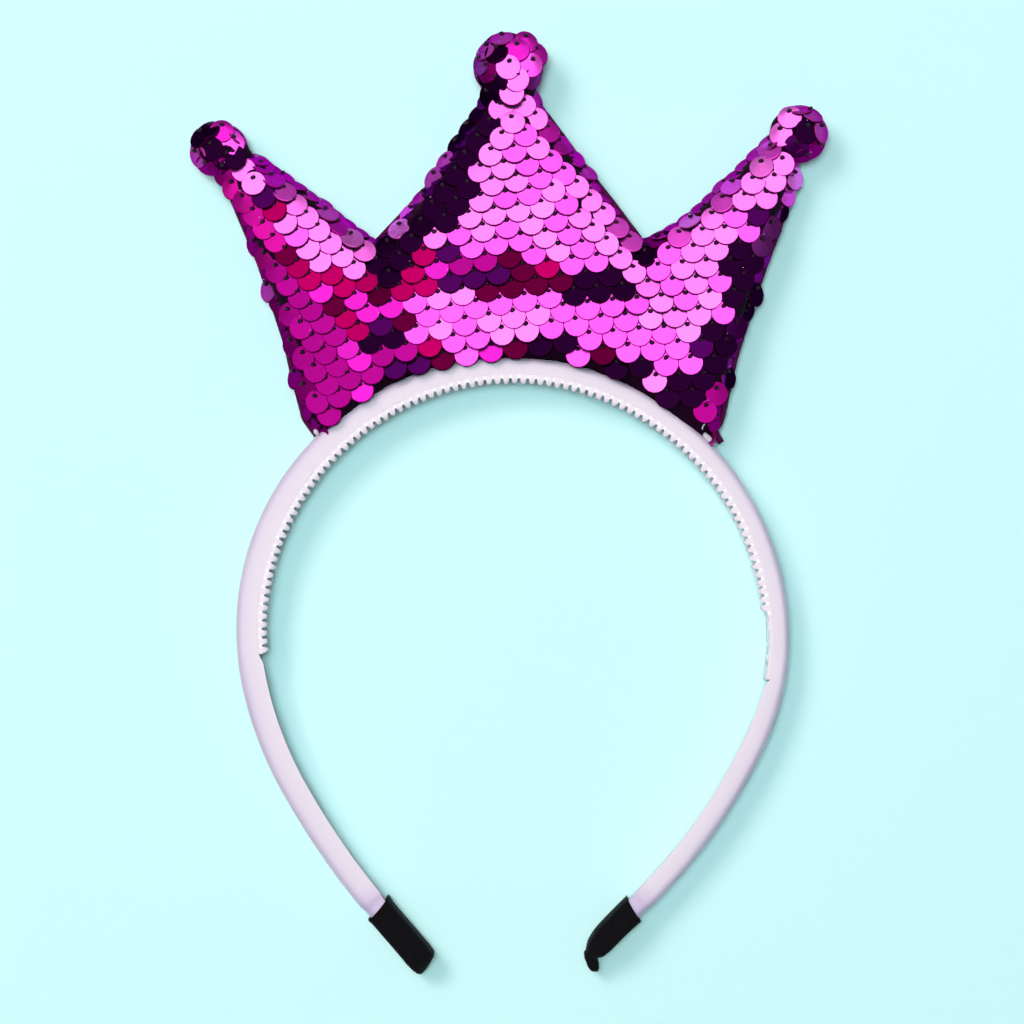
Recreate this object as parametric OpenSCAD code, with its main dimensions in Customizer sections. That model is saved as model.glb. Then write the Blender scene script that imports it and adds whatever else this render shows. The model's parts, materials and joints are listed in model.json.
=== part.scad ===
// Mini crown headband, lying flat on a table as it rests by itself.
// X runs across the band, Y runs from the band's open ends to the crown, Z points up.
// The origin is on the table, under the middle of the whole piece.

/* [Band] */
// Width of the band, outside to outside
band_w = 118; // [105:1:130]
// Thickness of the band near its ends
band_t = 5.4; // [4.8:0.1:6.5]
// Depth of the band along the head, which is its height as it lies
band_h = 10; // [8:0.5:14]
// Share of the band's thickness over which its outer face is rounded
dome_share = 0.62; // [0.4:0.02:0.8]

/* [Comb strip] */
// How far the strip reaches down the left side, along the band
strip_left = 97; // [70:1:110]
// How far the strip reaches down the right side
strip_right = 104; // [70:1:110]
// How far its teeth reach down the right side
teeth_right = 89; // [60:1:100]
// Height of the comb strip
strip_h = 6.6; // [4:0.2:7]
// Thickness of the strip behind its teeth
strip_t = 0.8; // [0.5:0.1:1]
// Length of a tooth
tooth_l = 1.2; // [0.8:0.05:2]
// Distance from tooth to tooth
tooth_pitch = 1.84; // [1.5:0.02:2.5]
// Thickness of a tooth at its root
tooth_w = 1.1; // [0.7:0.05:1.3]
// Width of the groove between the two rows of teeth
groove_w = 0.8; // [0.4:0.1:1.5]

/* [Sleeves] */
// Length of a ribbon sleeve
sleeve_l = 16; // [14:0.2:22]
// Thickness of a sleeve, seen from above
sleeve_t = 6.2; // [5.8:0.1:7.5]
// Wall of a sleeve above and below the band's end
sleeve_wall = 1; // [0.8:0.1:1.3]
// Length of the band's end inside a sleeve
tongue_l = 8.5; // [6:0.5:9]
// Thickness of the band's end inside a sleeve
tongue_t = 2.6; // [2:0.1:3]

/* [Crown] */
// Width of the crown over its outer balls
crown_w = 136; // [120:1:150]
// Height of the crown above the band
crown_h = 69.6; // [55:0.2:85]
// Reach of the crown along the band, to the left of its top
foot_left = 46.4; // [38:0.2:50]
// Reach of the crown along the band, to the right of its top
foot_right = 48.8; // [38:0.2:50]
// Height of the side seam above the table
seam_z = 6.6; // [5:0.1:8]
// How far the front is stuffed out past the seam
puff_front = 9.6; // [6:0.1:13]
// How far the back is stuffed out before the table flattens it
puff_back = 8.2; // [6:0.1:12]
// Distance from an edge at which the stuffing is full
puff_reach = 26; // [18:1:34]
// Diameter of the ball on the left point
ball_left_d = 12.2; // [10:0.2:14]
// Diameter of the ball on the middle point
ball_mid_d = 15.2; // [12:0.2:18]
// Diameter of the ball on the right point
ball_right_d = 12; // [10:0.2:14]

/* [Glue] */
// How far the crown's right foot stands off the band, which glue fills
foot_lift = 1.2; // [1:0.1:2]
// Thickness of a set strand of glue
glue_d = 0.9; // [0.6:0.1:1.4]
// Length of the strand at the right foot
glue_l = 4.4; // [2:0.2:6]

/* [Fit] */
// Gap between neighbouring pieces
gap = 0.25; // [0.15:0.05:0.4]

/* [Hidden] */
$fn = 180;

// Height of the band's outer top above the middle of the whole piece.
band_top_y = 0.265 * band_w;

// The band's outer edge runs down each side from its top in arcs that touch where they meet.
// Columns: radius as a share of band_w, turn.
right_arcs = [[0.510, 85.5], [0.472, 30.0], [1.025, 25.4]];
left_arcs = [[0.493, 103.0], [0.703, 15.9], [1.356, 15.1]];
right_run = [for (row = right_arcs) [row[0] * band_w, row[1]]];
left_run = [for (row = left_arcs) [row[0] * band_w, row[1]]];

// Thickness along the band, with the strip. Columns: place, from -1 at the left end over 0 at
// the top to 1 at the right end, and thickness as a share of band_t.
thickness_along = [
    [-1.00, 1.00],
    [-0.65, 1.045],
    [-0.35, 1.045],
    [-0.24, 1.02],
    [-0.12, 0.94],
    [0.00, 0.83],
    [0.06, 0.81],
    [0.29, 0.835],
    [0.35, 0.82],
    [0.46, 0.88],
    [0.52, 0.84],
    [0.60, 0.82],
    [0.68, 0.935],
    [1.00, 0.925],
];

function sum(list, k = 0) = k == len(list) ? 0 : list[k] + sum(list, k + 1);
function mix(a, b, t) = a + (b - a) * t;
function toward(angle) = [cos(angle), sin(angle)];
function arc_length(row) = row[0] * row[1] * PI / 180;
function run_length(run) = sum([for (row = run) arc_length(row)]);
left_len = run_length(left_run);
right_len = run_length(right_run);

// A run of arcs turns clockwise from the top, where it heads along +X. At a distance along it,
// this gives the centre and radius of the arc there and the angle of the place on that arc.
function on_run(run, along, centre, k = 0, angle = 90) =
    along <= arc_length(run[k]) || k == len(run) - 1
        ? [centre, run[k][0], angle - along / run[k][0] * 180 / PI]
        : let (next = angle - run[k][1])
          on_run(
              run,
              along - arc_length(run[k]),
              centre + (run[k][0] - run[k + 1][0]) * toward(next),
              k + 1,
              next
          );
function from_top(run, along) = on_run(run, along, [0, band_top_y - run[0][0]]);

// A point of the plan at a distance along the band, negative on the left, and a depth in from
// the band's outer edge.
function band_point(along, inward) =
    let (
        place = from_top(along < 0 ? left_run : right_run, abs(along)),
        p = place[0] + (place[1] - inward) * toward(place[2])
    )
    along < 0 ? [-p[0], p[1]] : p;

// The strip is let into the band's padding, which is thinner there.
ramp = 3 * strip_t;
recess_t = strip_t + gap;
function full_t(along) = band_t * lookup(along / (along < 0 ? left_len : right_len), thickness_along);
function recess(along) =
    recess_t
    * lookup(along, [
        [-strip_left - ramp, 0],
        [-strip_left - gap, 1],
        [strip_right + gap, 1],
        [strip_right + ramp, 0],
    ]);
function padded_t(along) = full_t(along) - recess(along);

// The band's end inside each sleeve is a thinner tongue.
tongue_h = band_h - 2 * sleeve_wall - 2 * gap;

// Outline of the band across its run, as depths in from its outer edge and heights: the inner
// face and the flat sides are straight, and the outer face is half an ellipse.
dome_turn = 20;
function padded_outline(along) =
    let (t = padded_t(along), dome = dome_share * t)
    [
        [t, 0],
        for (a = [-90:dome_turn:90]) [dome * (1 - cos(a)), band_h / 2 * (1 + sin(a))],
        [t, band_h],
    ];
function tongue_outline(along) =
    let (middle = full_t(along) / 2, low = (band_h - tongue_h) / 2, high = low + tongue_h)
    [
        [middle + tongue_t / 2, low],
        for (a = [-90:dome_turn:90]) [middle - tongue_t / 2, mix(low, high, (a + 90) / 180)],
        [middle + tongue_t / 2, high],
    ];

// Places of the band's sections: its two shoulders and tongues, the strip's ramps and between
// them one about every station_gap.
station_gap = 4;
shoulder_t = 0.02;
function evenly(from, to) =
    let (n = ceil((to - from) / station_gap)) [for (k = [1:n - 1]) mix(from, to, k / n)];
padded_left = -left_len + tongue_l;
padded_right = right_len - tongue_l;
padded_places = concat(
    [padded_left],
    evenly(padded_left, -strip_left - ramp),
    [-strip_left - ramp, -strip_left - gap],
    evenly(-strip_left - gap, 0),
    [0],
    evenly(0, strip_right + gap),
    [strip_right + gap, strip_right + ramp],
    evenly(strip_right + ramp, padded_right),
    [padded_right]
);
left_tongue = [for (k = [0:3]) mix(-left_len, padded_left - shoulder_t, k / 3)];
right_tongue = [for (k = [0:3]) mix(padded_right + shoulder_t, right_len, k / 3)];

function section(along, outline) =
    [for (p = outline) concat(band_point(along, p[0]), p[1])];
function rings_to_faces(rings, points) = concat(
    [[for (j = [0:points - 1]) j]],
    [
        for (i = [0:rings - 2])
            for (j = [0:points - 1])
                let (k = (j + 1) % points, a = i * points, b = a + points)
                each [[a + j, b + j, b + k], [a + j, b + k, a + k]]
    ],
    [[for (j = [0:points - 1]) rings * points - 1 - j]]
);

module band() {
    rings = concat(
        [for (along = left_tongue) section(along, tongue_outline(along))],
        [for (along = padded_places) section(along, padded_outline(along))],
        [for (along = right_tongue) section(along, tongue_outline(along))]
    );
    color([0.9, 0.85, 0.93])
        polyhedron([for (ring = rings) each ring], rings_to_faces(len(rings), len(rings[0])));
}

// The strip's teeth stand in two rows. Each tooth points inwards with a blunt tip, and a row of
// them closes behind them inside the strip.
tip_w = tooth_w * 0.5;
root_t = strip_t * 0.8;
plan_step = 2;
// A length at the strip's face is this much longer along the band's outer edge.
face_scale = 1 + full_t(0) / (left_run[0][0] - full_t(0));
tooth_step = tooth_pitch * face_scale;
tooth_profile = [
    [-tooth_w / 2, -strip_t / 2],
    [-tooth_w / 2, 0],
    [-tip_w / 2, tooth_l - tip_w / 3],
    [-tip_w / 5, tooth_l],
    [tip_w / 5, tooth_l],
    [tip_w / 2, tooth_l - tip_w / 3],
    [tooth_w / 2, 0],
    [tooth_w / 2, -strip_t / 2],
];
function strip_point(along, out) = band_point(along, full_t(along) + out);
function strip_line(from, to, out) =
    let (n = ceil((to - from) / plan_step))
    [for (k = [0:n]) strip_point(mix(from, to, k / n), out)];

module strip_back() {
    linear_extrude(strip_h)
        polygon(concat(
            strip_line(-strip_left, strip_right, -strip_t),
            [for (p = [strip_line(-strip_left, strip_right, 0)]) for (k = [1:len(p)]) p[len(p) - k]]
        ));
}

module teeth_row() {
    first = -strip_left + 0.75 * tooth_w;
    last = floor((teeth_right - first) / tooth_step);
    linear_extrude((strip_h - groove_w) / 2)
        polygon(concat(
            [
                for (k = [0:last])
                    for (p = tooth_profile)
                        strip_point(first + k * tooth_step + p[0] * face_scale, p[1])
            ],
            [
                for (k = [0:last])
                    strip_point(first + (last - k) * tooth_step, -root_t)
            ]
        ));
}

module comb_strip() {
    color([0.95, 0.94, 0.97])
        translate([0, 0, (band_h - strip_h) / 2])
            union() {
                strip_back();
                teeth_row();
                translate([0, 0, (strip_h + groove_w) / 2])
                    teeth_row();
            }
}

// Places its children at the mouth of a sleeve, with X along the band towards its end, in the
// middle of the band's thickness.
module at_sleeve(run, side) {
    mouth = run_length(run) - tongue_l;
    turned = from_top(run, mouth)[2] - 90;
    p = band_point(side * mouth, full_t(side * mouth) / 2);
    translate([side * p[0], p[1]])
        rotate(turned)
            children();
}

// Rings of a sleeve from its mouth to its pinched end. Columns: place along and across of its
// inner side and of its outer side, as shares of sleeve_l and sleeve_t, and height as a share
// of band_h.
left_rings = [
    [0.00, -0.48, 0.00, 0.50, 1.00],
    [0.68, -0.47, 0.66, 0.51, 1.00],
    [0.79, -0.46, 0.76, 0.52, 0.96],
    [0.89, -0.40, 0.86, 0.51, 0.86],
    [0.94, -0.10, 0.94, 0.47, 0.70],
    [0.97, 0.14, 0.98, 0.42, 0.54],
];
right_rings = [
    [0.00, -0.43, 0.00, 0.48, 1.00],
    [0.31, -0.40, 0.31, 0.48, 1.00],
    [0.50, -0.365, 0.50, 0.50, 1.00],
    [0.62, -0.30, 0.60, 0.50, 0.98],
    [0.72, -0.205, 0.69, 0.48, 0.92],
    [0.81, -0.05, 0.76, 0.41, 0.80],
    [0.87, 0.02, 0.79, 0.53, 0.70],
    [0.92, 0.28, 0.825, 0.66, 0.66],
    [0.95, 0.53, 0.86, 0.75, 0.60],
    [0.93, 0.67, 0.89, 0.77, 0.52],
];
corner_share = 0.3;

// The four rounded corners of a ring, from its lower inner one on round its outer side. Columns:
// share of the way to the outer side, share of the height, first direction.
ring_corners = [[0, 0, 270], [1, 0, 360], [1, 1, 450], [0, 1, 540]];
function sleeve_ring(row) =
    let (
        inner = [row[0] * sleeve_l, row[1] * sleeve_t],
        outer = [row[2] * sleeve_l, row[3] * sleeve_t],
        across = norm(outer - inner),
        high = row[4] * band_h,
        r = corner_share * min(across, high)
    )
    [
        for (c = ring_corners)
            for (turn = [90:-30:0])
                let (
                    a = c[2] - turn,
                    from_inner = mix(r, across - r, c[0]) + r * cos(a),
                    z = mix(r, high - r, c[1]) + r * sin(a)
                )
                concat(mix(inner, outer, from_inner / across), z)
    ];

// A ribbon tube round the band's tongue, closed past it. Its cavity follows the tongue's chord.
function half_bend(run) =
    let (end = run_length(run)) (from_top(run, end - tongue_l)[2] - from_top(run, end)[2]) / 2;
module sleeve(rows, run) {
    cavity_t = tongue_t + 2 * gap;
    cavity_h = tongue_h + 2 * gap;
    rings = [for (row = rows) sleeve_ring(row)];
    difference() {
        polyhedron([for (ring = rings) each ring], rings_to_faces(len(rings), len(rings[0])));
        rotate(-half_bend(run))
            translate([-1, -cavity_t / 2, (band_h - cavity_h) / 2])
                cube([1 + tongue_l, cavity_t, cavity_h]);
    }
}

module sleeve_right() {
    color([0.07, 0.06, 0.07])
        at_sleeve(right_run, 1)
            translate([gap, 0, 0])
                sleeve(right_rings, right_run);
}

module sleeve_left() {
    color([0.07, 0.06, 0.07])
        mirror([1, 0, 0])
            at_sleeve(left_run, -1)
                translate([gap, 0, 0])
                    sleeve(left_rings, left_run);
}

// The crown's upper outline from its left point to its right one. Columns: place across as a
// share of crown_w, height above the band's top as a share of crown_h, place of the rib's foot
// from the left foot to the right one, and number of ribs up to the next row.
ACROSS = 0;
UP = 1;
FOOT = 2;
RIBS = 3;
outline = [
    [-0.457, 0.555, 0.00, 3], // outer neck of the left point
    [-0.456, 0.640, 0.04, 2], // middle of the left ball
    [-0.411, 0.636, 0.09, 5], // inner neck of the left point
    [-0.313, 0.511, 0.18, 6],
    [-0.211, 0.369, 0.28, 5], // left valley
    [-0.135, 0.523, 0.38, 6],
    [-0.040, 0.800, 0.47, 1], // left neck of the middle point
    [0.001, 0.890, 0.50, 1], // middle of the middle ball
    [0.047, 0.806, 0.53, 6], // right neck of the middle point
    [0.127, 0.593, 0.62, 5],
    [0.216, 0.369, 0.73, 6], // right valley
    [0.288, 0.447, 0.81, 5],
    [0.408, 0.660, 0.92, 2], // inner neck of the right point
    [0.457, 0.687, 0.96, 3], // middle of the right ball
    [0.462, 0.579, 1.00, 0], // outer neck of the right point
];
// How far each side edge stands out from a straight line. Columns: share of the way up, share
// of crown_w.
left_edge = [[0, 0], [0.06, 0.010], [0.2, 0.004], [0.36, -0.005], [0.68, -0.009], [1, 0]];
right_edge = [[0, 0], [0.06, 0.006], [0.3, -0.004], [0.6, -0.003], [0.85, 0.003], [1, 0]];
// Dents in the stuffed front. Columns: start and end across and up as in the outline, half
// width and depth as shares of puff_front.
dents = [
    [-0.12, 0.23, 0.20, 0.24, 0.42, 0.17],
    [-0.21, 0.36, -0.27, 0.12, 0.40, 0.16],
    [0.22, 0.36, 0.25, 0.16, 0.40, 0.15],
    [-0.12, 0.46, -0.05, 0.70, 0.30, 0.10],
    [0.30, 0.02, 0.35, -0.14, 0.45, 0.15],
    [-0.20, -0.02, -0.33, -0.10, 0.45, 0.10],
];
// Points up each rib.
ribs_up = 16;
// How squarely the stuffing stands up from the seam: 0.5 is round, 1 is flat.
edge_shape = 0.58;
// How closely the distance from the edges follows the nearest edge.
blend_power = 3;
// Share of the foot over which a side edge's own shape fades out.
feather = 0.12;
// Share of the foot that lies against the band before the right end stands off.
foot_on_band = 0.9;

// The crown's foot follows the band, and its right end stands off it.
function foot_point(share) =
    band_point(
        mix(-foot_left, foot_right, share),
        -gap - foot_lift * lookup(share, [[foot_on_band, 0], [1, 1]])
    );
function outline_point(row) = [row[ACROSS] * crown_w, band_top_y + row[UP] * crown_h];

// Share of the way to the next row for rib k of n, closer together along the crown's side edges.
function rib_share(k, n, row) =
    row == 0 ? pow(k / n, 2) : row == len(outline) - 2 ? 1 - pow(1 - k / n, 2) : k / n;

// Each rib is its foot, its top and the edge that its top lies on.
ribs = [
    for (row = [0:len(outline) - 2])
        for (k = [0:outline[row][RIBS] - 1])
            let (t = rib_share(k, outline[row][RIBS], row))
            [
                mix(outline[row][FOOT], outline[row + 1][FOOT], t),
                mix(outline_point(outline[row]), outline_point(outline[row + 1]), t),
            ],
    [1, outline_point(outline[len(outline) - 1])],
];

// A point of a rib, v of the way up it.
function rib_point(rib, v) =
    let (
        foot = foot_point(rib[0]),
        left_out = lookup(v, left_edge) * max(0, 1 - rib[0] / feather),
        right_out = lookup(v, right_edge) * max(0, 1 - (1 - rib[0]) / feather)
    )
    mix(foot, rib[1], v) + [(right_out - left_out) * crown_w, 0];

// Rows lie closer together at a rib's ends, where the cloth turns over.
function row_share(j) = (1 - cos(180 * j / ribs_up)) / 2;
flat_grid = [for (rib = ribs) [for (j = [0:ribs_up]) rib_point(rib, row_share(j))]];

// The crown's edges as lines of points: its foot, its sides and its four slopes. A slope runs from
// one row of the outline to another.
left_neck = 2;
left_valley = 4;
mid_neck_left = 6;
mid_neck_right = 8;
right_valley = 10;
right_neck = 12;
first_rib = [for (row = [0:len(outline) - 1]) sum([for (k = [0:1:row - 1]) outline[k][RIBS]])];
function top_line(from, to) = [for (k = [first_rib[from]:first_rib[to]]) flat_grid[k][ribs_up]];
edges = [
    [for (k = [0:2:len(ribs) - 1]) flat_grid[k][0]],
    flat_grid[0],
    flat_grid[len(ribs) - 1],
    top_line(left_neck, left_valley),
    top_line(left_valley, mid_neck_left),
    top_line(mid_neck_right, right_valley),
    top_line(right_valley, right_neck),
];

function to_segment(p, a, b) =
    let (t = max(0, min(1, (p - a) * (b - a) / ((b - a) * (b - a)))))
    norm(p - mix(a, b, t));
function to_line(p, line) = min([for (k = [1:len(line) - 1]) to_segment(p, line[k - 1], line[k])]);
// Distance from the edges, blended so that no ridge shows where two edges are as near.
function depth_in(p) =
    pow(sum([for (line = edges) pow(max(to_line(p, line), 0.01), -blend_power)]), -1 / blend_power);
function fullness(p) = pow(1 - pow(1 - min(1, depth_in(p) / puff_reach), 2), edge_shape);
function dent_at(p) =
    sum([
        for (d = dents)
            let (
                a = outline_point([d[0], d[1]]),
                b = outline_point([d[2], d[3]]),
                away = to_segment(p, a, b) / (d[4] * puff_front)
            )
            d[5] * puff_front * exp(-away * away)
    ]);

// Front and back heights of the stuffed form at each point of the grid, equal along its rim.
last_rib = len(ribs) - 1;
function on_rim(i, j) = i == 0 || j == 0 || i == last_rib || j == ribs_up;
function heights(i, j) =
    on_rim(i, j)
        ? [seam_z, seam_z]
        : let (full = fullness(flat_grid[i][j]))
          [
              seam_z + full * (puff_front - dent_at(flat_grid[i][j])),
              max(0, seam_z - full * puff_back),
          ];

// Triangles of a grid's cells. Two corner cells are cut the other way, so that no triangle of
// theirs has all its points on the rim.
function quads(rows, columns, start, turned_over) = [
    for (i = [0:columns - 2])
        for (j = [0:rows - 2])
            let (
                a = start + i * rows + j,
                b = a + 1,
                c = a + rows + 1,
                d = a + rows,
                at_corner = (i == 0 && j == rows - 2) || (i == columns - 2 && j == 0),
                cut = at_corner ? [[b, c, d], [b, d, a]] : [[a, b, c], [a, c, d]]
            )
            each turned_over ? cut : [for (t = cut) [t[0], t[2], t[1]]]
];

module stuffed_form() {
    z = [for (i = [0:last_rib]) [for (j = [0:ribs_up]) heights(i, j)]];
    count = (last_rib + 1) * (ribs_up + 1);
    front = [for (i = [0:last_rib]) for (j = [0:ribs_up]) concat(flat_grid[i][j], z[i][j][0])];
    back = [for (i = [0:last_rib]) for (j = [0:ribs_up]) concat(flat_grid[i][j], z[i][j][1])];
    polyhedron(
        concat(front, back),
        concat(
            quads(ribs_up + 1, last_rib + 1, 0, true),
            quads(ribs_up + 1, last_rib + 1, count, false)
        )
    );
}

// A ball of the outline. Its own seam faces away from the crown's body.
module ball(row, diameter, away) {
    translate(concat(outline_point(outline[row]), max(seam_z, diameter / 2)))
        rotate(away)
            sphere(d = diameter, $fn = 36);
}

module crown() {
    color([0.8, 0.05, 0.6]) {
        stuffed_form();
        ball(left_neck - 1, ball_left_d, 135);
        ball(mid_neck_left + 1, ball_mid_d, 90);
        ball(right_neck + 1, ball_right_d, 45);
    }
}

// A strand of set glue lies in the groove between the crown's front and the band's outer face.
glue_z = seam_z + 0.23 * puff_front;
blob_l = 0.6 * glue_d;
function outer_depth(along, z) =
    dome_share * padded_t(along) * (1 - sqrt(max(0, 1 - pow(2 * z / band_h - 1, 2))));
module glue_strand(from, to) {
    hull()
        for (along = [from, to])
            translate(concat(
                band_point(along, outer_depth(along, glue_z) - gap - glue_d / 2),
                glue_z
            ))
                sphere(d = glue_d, $fn = 24);
}

module glue_right() {
    color([0.97, 0.95, 0.98])
        glue_strand(foot_right - glue_d / 2 - glue_l, foot_right - glue_d / 2);
}

module glue_left() {
    color([0.95, 0.85, 0.95])
        glue_strand(-foot_left + glue_d, -foot_left + glue_d + blob_l);
}

band();
comb_strip();
sleeve_left();
sleeve_right();
crown();
glue_left();
glue_right();
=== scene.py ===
"""Looks of the mini crown headband: satin band, comb, ribbon sleeves, crown with flip sequins and glue.

Lengths in the tables are millimetres in the part's own frame; meshes are written in metres.
"""

import json
import math

import bmesh
import bpy
import numpy as np
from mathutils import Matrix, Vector
from mathutils.bvhtree import BVHTree

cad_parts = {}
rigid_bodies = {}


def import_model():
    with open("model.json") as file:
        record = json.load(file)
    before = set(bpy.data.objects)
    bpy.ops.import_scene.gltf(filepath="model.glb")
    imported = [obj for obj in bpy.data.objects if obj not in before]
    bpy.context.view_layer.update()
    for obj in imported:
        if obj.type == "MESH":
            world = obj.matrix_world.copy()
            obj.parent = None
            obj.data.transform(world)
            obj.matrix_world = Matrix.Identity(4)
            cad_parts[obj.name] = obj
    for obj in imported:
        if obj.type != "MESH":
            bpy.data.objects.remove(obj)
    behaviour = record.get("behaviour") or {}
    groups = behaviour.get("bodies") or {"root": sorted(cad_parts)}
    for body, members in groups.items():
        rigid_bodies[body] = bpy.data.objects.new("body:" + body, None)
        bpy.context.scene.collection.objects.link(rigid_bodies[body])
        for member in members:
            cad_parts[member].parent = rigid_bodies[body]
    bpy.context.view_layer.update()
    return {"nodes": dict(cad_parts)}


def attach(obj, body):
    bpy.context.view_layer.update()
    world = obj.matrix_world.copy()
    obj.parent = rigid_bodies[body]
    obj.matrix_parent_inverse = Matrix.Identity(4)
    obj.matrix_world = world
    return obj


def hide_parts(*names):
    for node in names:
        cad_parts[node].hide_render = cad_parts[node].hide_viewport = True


MM = 0.001
rng = np.random.default_rng(11)

for leftover in list(bpy.data.objects):
    bpy.data.objects.remove(leftover)
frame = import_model()


def placed(name, data):
    """A new object in the scene with this data."""
    obj = bpy.data.objects.new(name, data)
    bpy.context.scene.collection.objects.link(obj)
    return obj


# The camera looks straight down on the piece as it lies. It sees the width at the level, and the
# plan point is in the middle of its view.
VIEW_WIDTH = 219.1
VIEW_MIDDLE = (0.86, -1.82)
VIEW_LEVEL = 6.0
LENS = 135.0
camera_data = bpy.data.cameras.new("camera")
camera_data.lens = LENS
camera_data.clip_start = 0.01
camera_data.clip_end = 50.0
camera = placed("camera", camera_data)
camera_height = VIEW_LEVEL + VIEW_WIDTH * LENS / camera_data.sensor_width
camera.location = (VIEW_MIDDLE[0] * MM, VIEW_MIDDLE[1] * MM, camera_height * MM)
bpy.context.scene.camera = camera

# Sizes as in part.scad, apart from STRIP_H and GROOVE_W, because the strip shown is almost as high
# as the band.
BAND_W = 118.0
BAND_T = 5.4
BAND_H = 10.0
BAND_TOP = 0.265 * BAND_W
DOME_SHARE = 0.62
# Arcs of the band's outer edge from its top. Columns: radius as a share of BAND_W, turn in degrees.
RIGHT_ARCS = ((0.510, 85.5), (0.472, 30.0), (1.025, 25.4))
LEFT_ARCS = ((0.493, 103.0), (0.703, 15.9), (1.356, 15.1))
# Columns: place along the band as a share of that side's length, thickness as a share of BAND_T.
THICKNESS = np.array(
    [
        [-1.00, 1.00],
        [-0.65, 1.045],
        [-0.35, 1.045],
        [-0.24, 1.02],
        [-0.12, 0.94],
        [0.00, 0.83],
        [0.06, 0.81],
        [0.29, 0.835],
        [0.35, 0.82],
        [0.46, 0.88],
        [0.52, 0.84],
        [0.60, 0.82],
        [0.68, 0.935],
        [1.00, 0.925],
    ]
)
# The comb strip: where it and its teeth end along the band, its section, and its teeth.
STRIP_LEFT, STRIP_RIGHT, TEETH_RIGHT = 97.0, 104.0, 89.0
STRIP_H, STRIP_T, GROOVE_W = 9.9, 0.8, 1.8
TOOTH_L, TOOTH_PITCH, TOOTH_W = 1.2, 1.84, 1.1
# The bare tongues at the band's ends and the ribbon round them.
TONGUE_L, TONGUE_T = 8.5, 2.6
SLEEVE_WALL = 1.0
# Play between pieces.
GAP = 0.25
# The crown: its size, the ends of its foot along the band, its lift at the right, its seam's height.
CROWN_W, CROWN_H = 136.0, 69.6
FOOT_LEFT, FOOT_RIGHT = 46.4, 48.8
FOOT_LIFT = 1.2
SEAM_Z = 6.6
# Columns: across as a share of CROWN_W, up from the band's top as a share of CROWN_H.
OUTLINE = np.array(
    [
        [-0.457, 0.555],
        [-0.456, 0.640],
        [-0.411, 0.636],
        [-0.313, 0.511],
        [-0.211, 0.369],
        [-0.135, 0.523],
        [-0.040, 0.800],
        [0.001, 0.890],
        [0.047, 0.806],
        [0.127, 0.593],
        [0.216, 0.369],
        [0.288, 0.447],
        [0.408, 0.660],
        [0.457, 0.687],
        [0.462, 0.579],
    ]
)
# Columns: share of the way up a side edge, its bow outwards as a share of CROWN_W.
LEFT_EDGE = np.array([[0, 0], [0.06, 0.010], [0.2, 0.004], [0.36, -0.005], [0.68, -0.009], [1, 0]])
RIGHT_EDGE = np.array([[0, 0], [0.06, 0.006], [0.3, -0.004], [0.6, -0.003], [0.85, 0.003], [1, 0]])
# Columns: row of OUTLINE at the ball's middle, counted from nought, and diameter.
BALLS = ((1, 12.2), (7, 15.2), (13, 12.0))
# The sequins on top of each ball. Columns: place from the ball's middle across and up, tint, which also
# carries painted reflection and shade.
BALL_SEQUINS = (
    (
        (0.7, 3.8, "hot"),
        (3.2, 1.4, "bright"),
        (4.7, 3.4, "mauve"),
        (-3.8, 2.6, "night"),
        (1.6, -2.0, "night"),
        (-1.6, -0.0, "night"),
        (-2.5, -3.8, "magenta"),
        (-4.5, -1.5, "mauve"),
        (-2.1, 4.0, "night"),
        (0.6, -4.4, "magenta"),
    ),
    (
        (-1.4, 6.0, "mauve"),
        (3.5, 5.2, "hot"),
        (-4.9, 3.7, "mauve"),
        (-2.6, 3.3, "night"),
        (1.8, 3.7, "hot"),
        (4.8, 0.6, "bright"),
        (5.9, 2.8, "hot"),
        (-0.1, 0.2, "pale"),
        (-4.8, -0.6, "magenta"),
        (-6.1, 0.9, "violet"),
        (1.9, -2.6, "pale"),
        (-2.9, -3.0, "night"),
        (5.5, -2.3, "violet"),
    ),
    (
        (-1.8, 3.5, "pale"),
        (-3.9, -0.1, "pale"),
        (0.3, 5.9, "mauve"),
        (2.8, 4.1, "mauve"),
        (4.9, 0.5, "mauve"),
        (1.9, 0.5, "night"),
        (-0.4, -2.9, "plum"),
        (4.0, -3.2, "magenta"),
        (1.6, -5.7, "magenta"),
    ),
)


def as_seen(points, height):
    """Plan points moved so that, at their height, they show where they would at VIEW_LEVEL."""
    middle = np.array(VIEW_MIDDLE)
    share = (camera_height - height) / (camera_height - VIEW_LEVEL)
    return middle + (points - middle) * np.reshape(share, (-1, 1))


def arc_span(row):
    """Length of an arc given as a share of the band's width and a turn in degrees."""
    return row[0] * BAND_W * math.radians(row[1])


LEFT_LEN = sum(arc_span(row) for row in LEFT_ARCS)
RIGHT_LEN = sum(arc_span(row) for row in RIGHT_ARCS)


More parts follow.
